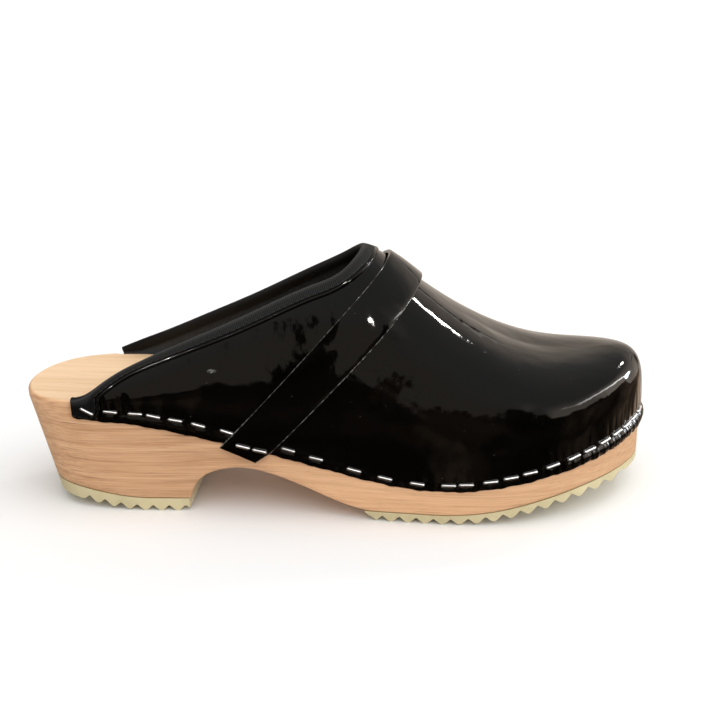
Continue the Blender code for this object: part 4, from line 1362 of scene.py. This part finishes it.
def tape_place(side, angle, share):
    """Places on the upper under the tape: share 0 is the collar edge and 1 the tape's lower side."""
    v, edge, normal, down = collar_frame(side, angle)
    x = station_x(angle)
    from_end = x - WING_END[side]
    main = smooth((from_end - TAPE_END_TO) / (TAPE_END_FROM - TAPE_END_TO))[:, None]
    width = tape_width(np.minimum(x, THROAT))[:, None]
    lean = TAPE_END_LEAN * np.clip(from_end / TAPE_END_TO, 0.0, 1.0)[:, None]
    lean = lean + (1 - TAPE_END_LEAN) * main
    heading = unit(lean * down + (1 - lean) * np.array((0.0, 0.0, -1.0)))
    foot_x = x + (edge[:, 2] - edge_height(x)) * heading[:, 0] / -heading[:, 2]
    tall = ((edge[:, 2] - edge_height(foot_x) - TAPE_END_MARGIN) / -heading[:, 2])[:, None]
    target = edge + heading * (main * width + (1 - main) * tall) * share
    return follow(side, angle, v, target)


def tape_rows(side, angle):
    """Closed outline of the folded tape at each place on the collar."""
    v, edge, normal, down = collar_frame(side, angle)
    room = edge[:, 2] - rim_height(station_x(angle)) - INSIDE_MARGIN
    inside = np.clip(room, INSIDE_SHORTEST, INSIDE_FLAP)[:, None]

    def outer_flap(share, lift):
        at = tape_place(side, angle, share)
        return upper_point(side, *at) + upper_normal(side, *at) * lift

    def inner_flap(share, lift):
        at = follow(side, angle, v, edge + down * inside * share)
        return upper_point(side, *at) - upper_normal(side, *at) * (LEATHER + lift)

    def fold(lift, degrees):
        turn = math.radians(degrees)
        middle = edge - normal * LEATHER / 2
        return middle + (LEATHER / 2 + lift) * (normal * math.cos(turn) - down * math.sin(turn))

    face = list(zip(TAPE_FACE["share"], TAPE_FACE["lift"]))
    rows = [outer_flap(share, lift * TAPE_THICK) for share, lift in reversed(face[1:])]
    rows += [fold(TAPE_THICK, degrees) for degrees in FOLD_TURNS]
    rows += [inner_flap(share, TAPE_THICK) for share in INSIDE_SHARES]
    rows += [inner_flap(1.0, TAPE_THICK * 0.5), inner_flap(1.0, TAPE_UNDER), inner_flap(0.5, TAPE_UNDER)]
    rows += [fold(TAPE_UNDER, degrees) for degrees in FOLD_BACK_TURNS]
    rows += [outer_flap(share, TAPE_UNDER) for share in (0.5, 1.0)]
    rows.append(rows[0])
    return np.stack(rows, axis=1)


COLLAR_STATIONS = 210
collar_angles = {side: wing_angles(side, COLLAR_STATIONS) for side in (OUTER, INNER)}


def round_collar(part):
    """Rows from the end of the outer wing round the throat to the end of the inner wing."""
    return np.concatenate([part(OUTER, collar_angles[OUTER]), part(INNER, collar_angles[INNER])[::-1][1:]])


tape_grid = round_collar(tape_rows)
tape_run = lengths_along(round_collar(lambda side, angle: collar_frame(side, angle)[1])) * MM
from_tape_end = np.minimum(tape_run, tape_run[-1] - tape_run) / MM
tape_ribbed = np.clip(from_tape_end / RIBS_FULL - RIBS_NONE, 0.0, 1.0)
# Painted highlight along the fold and at the inner flap's lower side, one value for each row round the tape
tape_painted_highlight = np.zeros(tape_grid.shape[1])
fold_rows = len(TAPE_FACE["share"]) - 1 + np.arange(len(FOLD_TURNS))
inside_rows = fold_rows[-1] + 1 + np.arange(len(HIGHLIGHT_INSIDE))
tape_painted_highlight[fold_rows] = np.exp(-((FOLD_TURNS - HIGHLIGHT_TURN) / HIGHLIGHT_REACH) ** 2)
tape_painted_highlight[inside_rows] = HIGHLIGHT_INSIDE


def cap(ring, middle):
    """Grid that closes a ring of points to its middle."""
    return np.stack([ring, np.broadcast_to(middle, ring.shape)])


tape_grids = [tape_grid] + [cap(tape_grid[end], tape_grid[end].mean(axis=0)) for end in (0, -1)]
bare = np.zeros((2, 1))         # the caps are plain
tape_marks = {
    "along": [tape_run[:, None], bare + tape_run[0], bare + tape_run[-1]],
    "ribbed": [tape_ribbed[:, None], bare, bare],
    "fold_highlight": [tape_painted_highlight[None], bare, bare],
}
tape_piece = new_piece("collar_tape", tape_grids, tape_marks, sharp_angle=70)

TAPE_DARK = (0.002, 0.002, 0.0022, 1.0)
TAPE_LIGHT = (0.010, 0.010, 0.0103, 1.0)
# Pale colour of the painted highlight along the fold and the inner flap's edge
TAPE_PAINTED_HIGHLIGHT = (0.045, 0.045, 0.046, 1.0)
TAPE_RIBS = 1300.0              # ribs per metre along the tape
tape, tree, shader, place = new_material("collar_tape")
grain = grain_of(tree, place, 2600.0)
phase = times(tree, mark_of(tree, "along"), 2 * math.pi * TAPE_RIBS)
ribs = math_node(tree, "MULTIPLY_ADD", math_node(tree, "SINE", phase), 0.5, 0.5)
ribs = times(tree, ribs, mark_of(tree, "ribbed"))
weave = math_node(tree, "MULTIPLY_ADD", grain["Height"], 0.7, times(tree, ribs, 0.6))
woven = mix_colours(tree, ramp(tree, weave, 0.3, 0.9), TAPE_DARK, TAPE_LIGHT)
# Painted highlight: the tape turns paler along its fold and at the inner flap's edge
fold_highlight = times(tree, mark_of(tree, "fold_highlight"), 0.7)
feed(tree, shader, {
    "Base Color": mix_colours(tree, fold_highlight, woven, TAPE_PAINTED_HIGHLIGHT),
    "Roughness": ramp(tree, weave, 0.3, 0.9, 0.62, 0.45),
    "Specular IOR Level": 0.2,
    "Normal": bump(tree, weave, 0.00022),
})
dress(tape_piece, tape, "binding", "collar_binding")

# Collar piping
# A thin bead of the patent leather that follows the lower side of the tape and turns down to the wood near
# the end of each wing. A small lamp of its own puts the bright streak on the outer wing.
PIPING_RADIUS, PIPING_AWAY, PIPING_LIFT = 0.6, 1.1, 0.25
PIPING_STEPS = 12
PIPING_END = 1.1                # it stops this far above the leather's lower edge


def piping_line(side, angle):
    """Points of the bead on the leather, and the outward direction there."""
    at = tape_place(side, angle, 1.0)
    boundary = upper_point(side, *at)
    normal = upper_normal(side, *at)
    away = np.cross(unit(np.gradient(boundary, axis=0)), normal) * -side
    at = follow(side, *at, boundary + away * PIPING_AWAY)
    return np.concatenate([upper_point(side, *at), upper_normal(side, *at)], axis=1)


piping_path = round_collar(piping_line)
piping_middle, piping_out = piping_path[:, :3], piping_path[:, 3:]
shown = piping_middle[:, 2] - edge_height(piping_middle[:, 0]) > PIPING_END
piping_middle, piping_out = piping_middle[shown], piping_out[shown]
piping_across = np.cross(unit(np.gradient(piping_middle, axis=0)), piping_out)
piping_turns = np.linspace(0.0, 2 * np.pi, PIPING_STEPS + 1)
piping_grid = piping_middle[:, None] + piping_out[:, None] * PIPING_LIFT + PIPING_RADIUS * (
    piping_out[:, None] * np.cos(piping_turns)[None, :, None]
    + piping_across[:, None] * np.sin(piping_turns)[None, :, None]
)
piping_caps = [cap(piping_grid[end], piping_grid[end, :-1].mean(axis=0)) for end in (0, -1)]
piping = new_piece("collar_piping", [piping_grid] + piping_caps)
lacquer(piping)

BEAD_SHINE_AT = 66.8                    # station of the bright streak on the outer wing
BEAD_LAMP_RADIUS, BEAD_LAMP_POWER = 0.011, 10.0
bead_offset = np.abs(piping_middle[:, 0] - BEAD_SHINE_AT) + LENGTH * (piping_middle[:, 1] > MIDDLE[1])
shine = int(np.argmin(bead_offset))
shine_place, shine_normal = Vector(in_frame(piping_middle[shine])), Vector(piping_out[shine])
to_camera = (camera_place - shine_place).normalized()
mirrored = shine_normal * 2 * shine_normal.dot(to_camera) - to_camera
bead_lamp = lamp("bead_lamp", 0, 0, BEAD_LAMP_RADIUS, BEAD_LAMP_POWER)
bead_lamp.location = shine_place + mirrored * LAMP_DISTANCE
bead_lamp.rotation_euler = mirrored.to_track_quat("Z", "Y").to_euler()
bead_only = bpy.data.collections.new("bead_only")      # this lamp shows in the bead alone
bead_only.objects.link(piping)
bead_lamp.light_linking.receiver_collection = bead_only

# Collar stitches
# Black waxed thread along the lower side of the tape, sewn through from the outer wing to the inner one.
STITCH_PITCH, STITCH_LENGTH, STITCH_THICK = 2.6, 1.9, 0.45
STITCH_SHARE, STITCH_LIFT = 0.9, 0.5
STITCH_SEGMENTS, STITCH_RINGS = 8, 6
STITCH_FROM = 6                 # stations of the collar at either end without stitches
THREAD_TWIST = (3000.0, 3000.0, 3000.0)     # repeats per metre


def set_input(modifier, tree, name, value):
    """A modifier's inputs go by the identifier of the socket."""
    for item in tree.interface.items_tree:
        if item.item_type == "SOCKET" and item.in_out == "INPUT" and item.name == name:
            modifier[item.identifier] = value


def group_tree(name, sizes, material):
    """Geometry tree with a geometry input and output, named sizes and a named material."""
    tree = bpy.data.node_groups.new(name, "GeometryNodeTree")
    add_sockets(tree, "INPUT", {"Geometry": "Geometry"})
    add_sockets(tree, "INPUT", {size: "Float" for size in sizes})
    add_sockets(tree, "INPUT", {material: "Material"})
    add_sockets(tree, "OUTPUT", {"Geometry": "Geometry"})
    return tree, node(tree, "NodeGroupInput").outputs


def path_object(name, points, directions, edges):
    """Mesh of bare points, with or without edges, that carries named directions."""
    mesh = bpy.data.meshes.new(name)
    mesh.from_pydata(in_frame(points).tolist(), edges, [])
    for key, vectors in directions.items():
        attribute = mesh.attributes.new(key, "FLOAT_VECTOR", "POINT")
        attribute.data.foreach_set("vector", np.asarray(vectors, np.float32).ravel())
    return add_object(name, mesh)


def grown(path, tree, values):
    """Run a geometry tree on a path and leave the result as a plain mesh."""
    modifier = path.modifiers.new(tree.name, "NODES")
    modifier.node_group = tree
    for name, value in values.items():
        set_input(modifier, tree, name, value)
    bpy.context.view_layer.update()
    evaluated = path.evaluated_get(bpy.context.evaluated_depsgraph_get())
    mesh = bpy.data.meshes.new_from_object(evaluated)
    mesh.name = path.name
    path.modifiers.remove(modifier)
    path.data = mesh
    mesh.shade_smooth()
    return path


def named_vector(tree, name):
    settings = {"data_type": "FLOAT_VECTOR"}
    return node(tree, "GeometryNodeInputNamedAttribute", {"Name": name}, **settings).outputs["Attribute"]


def turned(tree, along):
    """Rotation that turns z outward and x along a direction."""
    axes = {0: named_vector(tree, "outward"), 1: along}
    settings = {"primary_axis": "Z", "secondary_axis": "X"}
    return first_of(tree, "FunctionNodeAxesToRotation", axes, **settings)


def finish_tree(tree, instances, material):
    """Every tree ends with real geometry and its material."""
    real = first_of(tree, "GeometryNodeRealizeInstances", {0: instances})
    painted = first_of(tree, "GeometryNodeSetMaterial", {"Geometry": real, "Material": material})
    node(tree, "NodeGroupOutput", {0: painted})


thread, tree, shader, place = new_material("thread")
twist = drawn_out(tree, place, THREAD_TWIST)
feed(tree, shader, {
    "Base Color": mix_colours(tree, twist, TAPE_DARK, TAPE_LIGHT), "Roughness": 0.55,
    "Normal": bump(tree, twist, 0.00005),
})

tree, given = group_tree("stitches", ("Pitch", "Length", "Thickness"), "Thread")
line = first_of(tree, "GeometryNodeMeshToCurve", {0: given["Geometry"]})
spacing = {"Curve": line, "Length": given["Pitch"]}
spaced = first_of(tree, "GeometryNodeResampleCurve", spacing, mode="LENGTH")
ball = {"Segments": STITCH_SEGMENTS, "Rings": STITCH_RINGS, "Radius": 0.5}
bead = first_of(tree, "GeometryNodeMeshUVSphere", ball)
sizes = {"X": given["Length"], "Y": given["Thickness"], "Z": given["Thickness"]}
size = first_of(tree, "ShaderNodeCombineXYZ", sizes)
turn = turned(tree, first_of(tree, "GeometryNodeInputTangent"))
instances = {"Points": spaced, "Instance": bead, "Rotation": turn, "Scale": size}
placed = first_of(tree, "GeometryNodeInstanceOnPoints", instances)
finish_tree(tree, placed, given["Thread"])


def stitch_line(side, angle):
    """Points on the tape near its lower side, and the outward direction there."""
    at = tape_place(side, angle, STITCH_SHARE)
    out = upper_normal(side, *at)
    return np.concatenate([upper_point(side, *at) + out * STITCH_LIFT, out], axis=1)


stitch_path = round_collar(stitch_line)
stitch_points, stitch_outward = np.split(stitch_path[STITCH_FROM:-STITCH_FROM], 2, axis=1)
stitch_edges = [(i, i + 1) for i in range(len(stitch_points) - 1)]
stitches = path_object("collar_stitches", stitch_points, {"outward": stitch_outward}, stitch_edges)
stitch_values = {
    "Pitch": STITCH_PITCH * MM, "Length": STITCH_LENGTH * MM, "Thickness": STITCH_THICK * MM,
    "Thread": thread,
}
dress(grown(stitches, tree, stitch_values), thread, "binding")

# Staples
# Bright galvanised wire, bent square at both ends and driven through the leather into the step of the wood.
# They follow the lower edge all round, two of them through each end of the strap.
WIRE, CROWN, LEG = 1.3, 5.0, 2.2
WIRE_POINTS, WIRE_SIDES = 41, 10
TILT_SEED = 4
STAPLE_TILT = math.radians(5)
STAPLE_SUNK = -0.62             # the crowns are pulled into the leather
STRAP_STAPLES = (-0.6, 6.4)     # along the edge, from the middle of the strap
STRAP_STAPLE_RISE = 1.8
END_TILT = math.radians(-26)    # the staple at the end of the outer wing slopes down to the front
ON_TAPE, ON_TAPE_LIFT = 9.0, 0.25           # staples this close to the end of a wing go through the tape
ASIDE = 0.01                    # step in a station's angle, for the direction along the edge


def staple_places(side, angles, rise, lift):
    """Middle, direction along the edge and outward direction of each staple."""
    on_tape = station_x(angles) - WING_END[side] < ON_TAPE
    lift = lift + on_tape * (TAPE_THICK + ON_TAPE_LIFT)

    def at(a):
        x = station_x(a)
        return with_height(outline(a, side, STAND_OFF + lift), edge_height(x) + rise(x))

    along = unit(at(angles + ASIDE) - at(angles - ASIDE))
    flat = outline(angles, side, 1.0) - outline(angles, side, 0.0)
    return at(angles), along, with_height(flat, 0.0)


def tilted(along, outward, tilt):
    """A direction along the edge, turned about the outward one."""
    return np.array(Matrix.Rotation(tilt, 3, Vector(outward)) @ Vector(along))


places = []
for side in (OUTER, INNER):
    places.append(staple_places(side, staple_angles[side], staple_rise, STAPLE_SUNK + WIRE / 2))
    middle = strap_angle(side, np.array(-1.0), np.array(0.0))
    strap_angles = edge_angle(side, edge_length(side, middle) - np.array(STRAP_STAPLES))
    lift = STRAP_GAP + STRAP_THICK + STRAP_CROWN + WIRE / 2
    places.append(staple_places(side, strap_angles, lambda x: STRAP_STAPLE_RISE + 0 * x, lift))
staple_points, staple_along, staple_outward = (np.concatenate(parts) for parts in zip(*places))
staple_along[0] = tilted(staple_along[0], staple_outward[0], END_TILT)

STEEL_BRIGHT = (0.93, 0.93, 0.92, 1.0)
STEEL_DULL = (0.78, 0.78, 0.79, 1.0)
steel, tree, shader, place = new_material("galvanised_wire")
grain = grain_of(tree, place, 1500.0)
feed(tree, shader, {
    "Base Color": mix_colours(tree, grain["Height"], STEEL_BRIGHT, STEEL_DULL),
    "Metallic": 1.0, "Roughness": ramp(tree, grain["Height"], 0.3, 0.7, 0.3, 0.45),
    "Normal": bump(tree, grain["Height"], 0.00002),
})

tree, given = group_tree("staples", ("Crown", "Leg", "Wire", "Tilt"), "Steel")
half = times(tree, given["Crown"], 0.5)
reach = math_node(tree, "ADD", half, given["Leg"])
back_reach = times(tree, reach, -1.0)
start = first_of(tree, "ShaderNodeCombineXYZ", {"X": back_reach})
end = first_of(tree, "ShaderNodeCombineXYZ", {"X": reach})
straight = first_of(tree, "GeometryNodeCurvePrimitiveLine", {"Start": start, "End": end})
count = {"Curve": straight, "Count": WIRE_POINTS}
wire_points = first_of(tree, "GeometryNodeResampleCurve", count, mode="COUNT")
position = first_of(tree, "GeometryNodeInputPosition")
spot = node(tree, "ShaderNodeSeparateXYZ", {0: position}).outputs["X"]
past = math_node(tree, "SUBTRACT", math_node(tree, "ABSOLUTE", spot), half)
past = math_node(tree, "MAXIMUM", past, 0.0)
kept = times(tree, math_node(tree, "SIGN", spot), past)
bend = {"X": math_node(tree, "SUBTRACT", spot, kept), "Z": times(tree, past, -1.0)}
bent = first_of(tree, "ShaderNodeCombineXYZ", bend)
folded = first_of(tree, "GeometryNodeSetPosition", {"Geometry": wire_points, "Position": bent})
radius = times(tree, given["Wire"], 0.5)
circle = {"Resolution": WIRE_SIDES, "Radius": radius}
ring = first_of(tree, "GeometryNodeCurvePrimitiveCircle", circle)
sweep = {"Curve": folded, "Profile Curve": ring, "Fill Caps": True}
wire_mesh = first_of(tree, "GeometryNodeCurveToMesh", sweep)
aim = turned(tree, named_vector(tree, "along"))
least = times(tree, given["Tilt"], -1.0)
limits = {2: least, 3: given["Tilt"], "Seed": TILT_SEED}
draw = node(tree, "FunctionNodeRandomValue", limits, data_type="FLOAT").outputs[1]
spin = {"Axis": (0.0, 0.0, 1.0), "Angle": draw}
lean = first_of(tree, "FunctionNodeAxisAngleToRotation", spin)
aimed = first_of(tree, "FunctionNodeRotateRotation", {0: aim, 1: lean}, rotation_space="LOCAL")
instances = {"Points": given["Geometry"], "Instance": wire_mesh, "Rotation": aimed}
driven = first_of(tree, "GeometryNodeInstanceOnPoints", instances)
finish_tree(tree, driven, given["Steel"])

staples = path_object("staple_wires", staple_points, {"outward": staple_outward, "along": staple_along}, [])
staple_values = {"Crown": CROWN * MM, "Leg": LEG * MM, "Wire": WIRE * MM, "Tilt": STAPLE_TILT, "Steel": steel}
staple_nodes = [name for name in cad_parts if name.startswith("staple_")]
dress(grown(staples, tree, staple_values), steel, "steel", *staple_nodes)
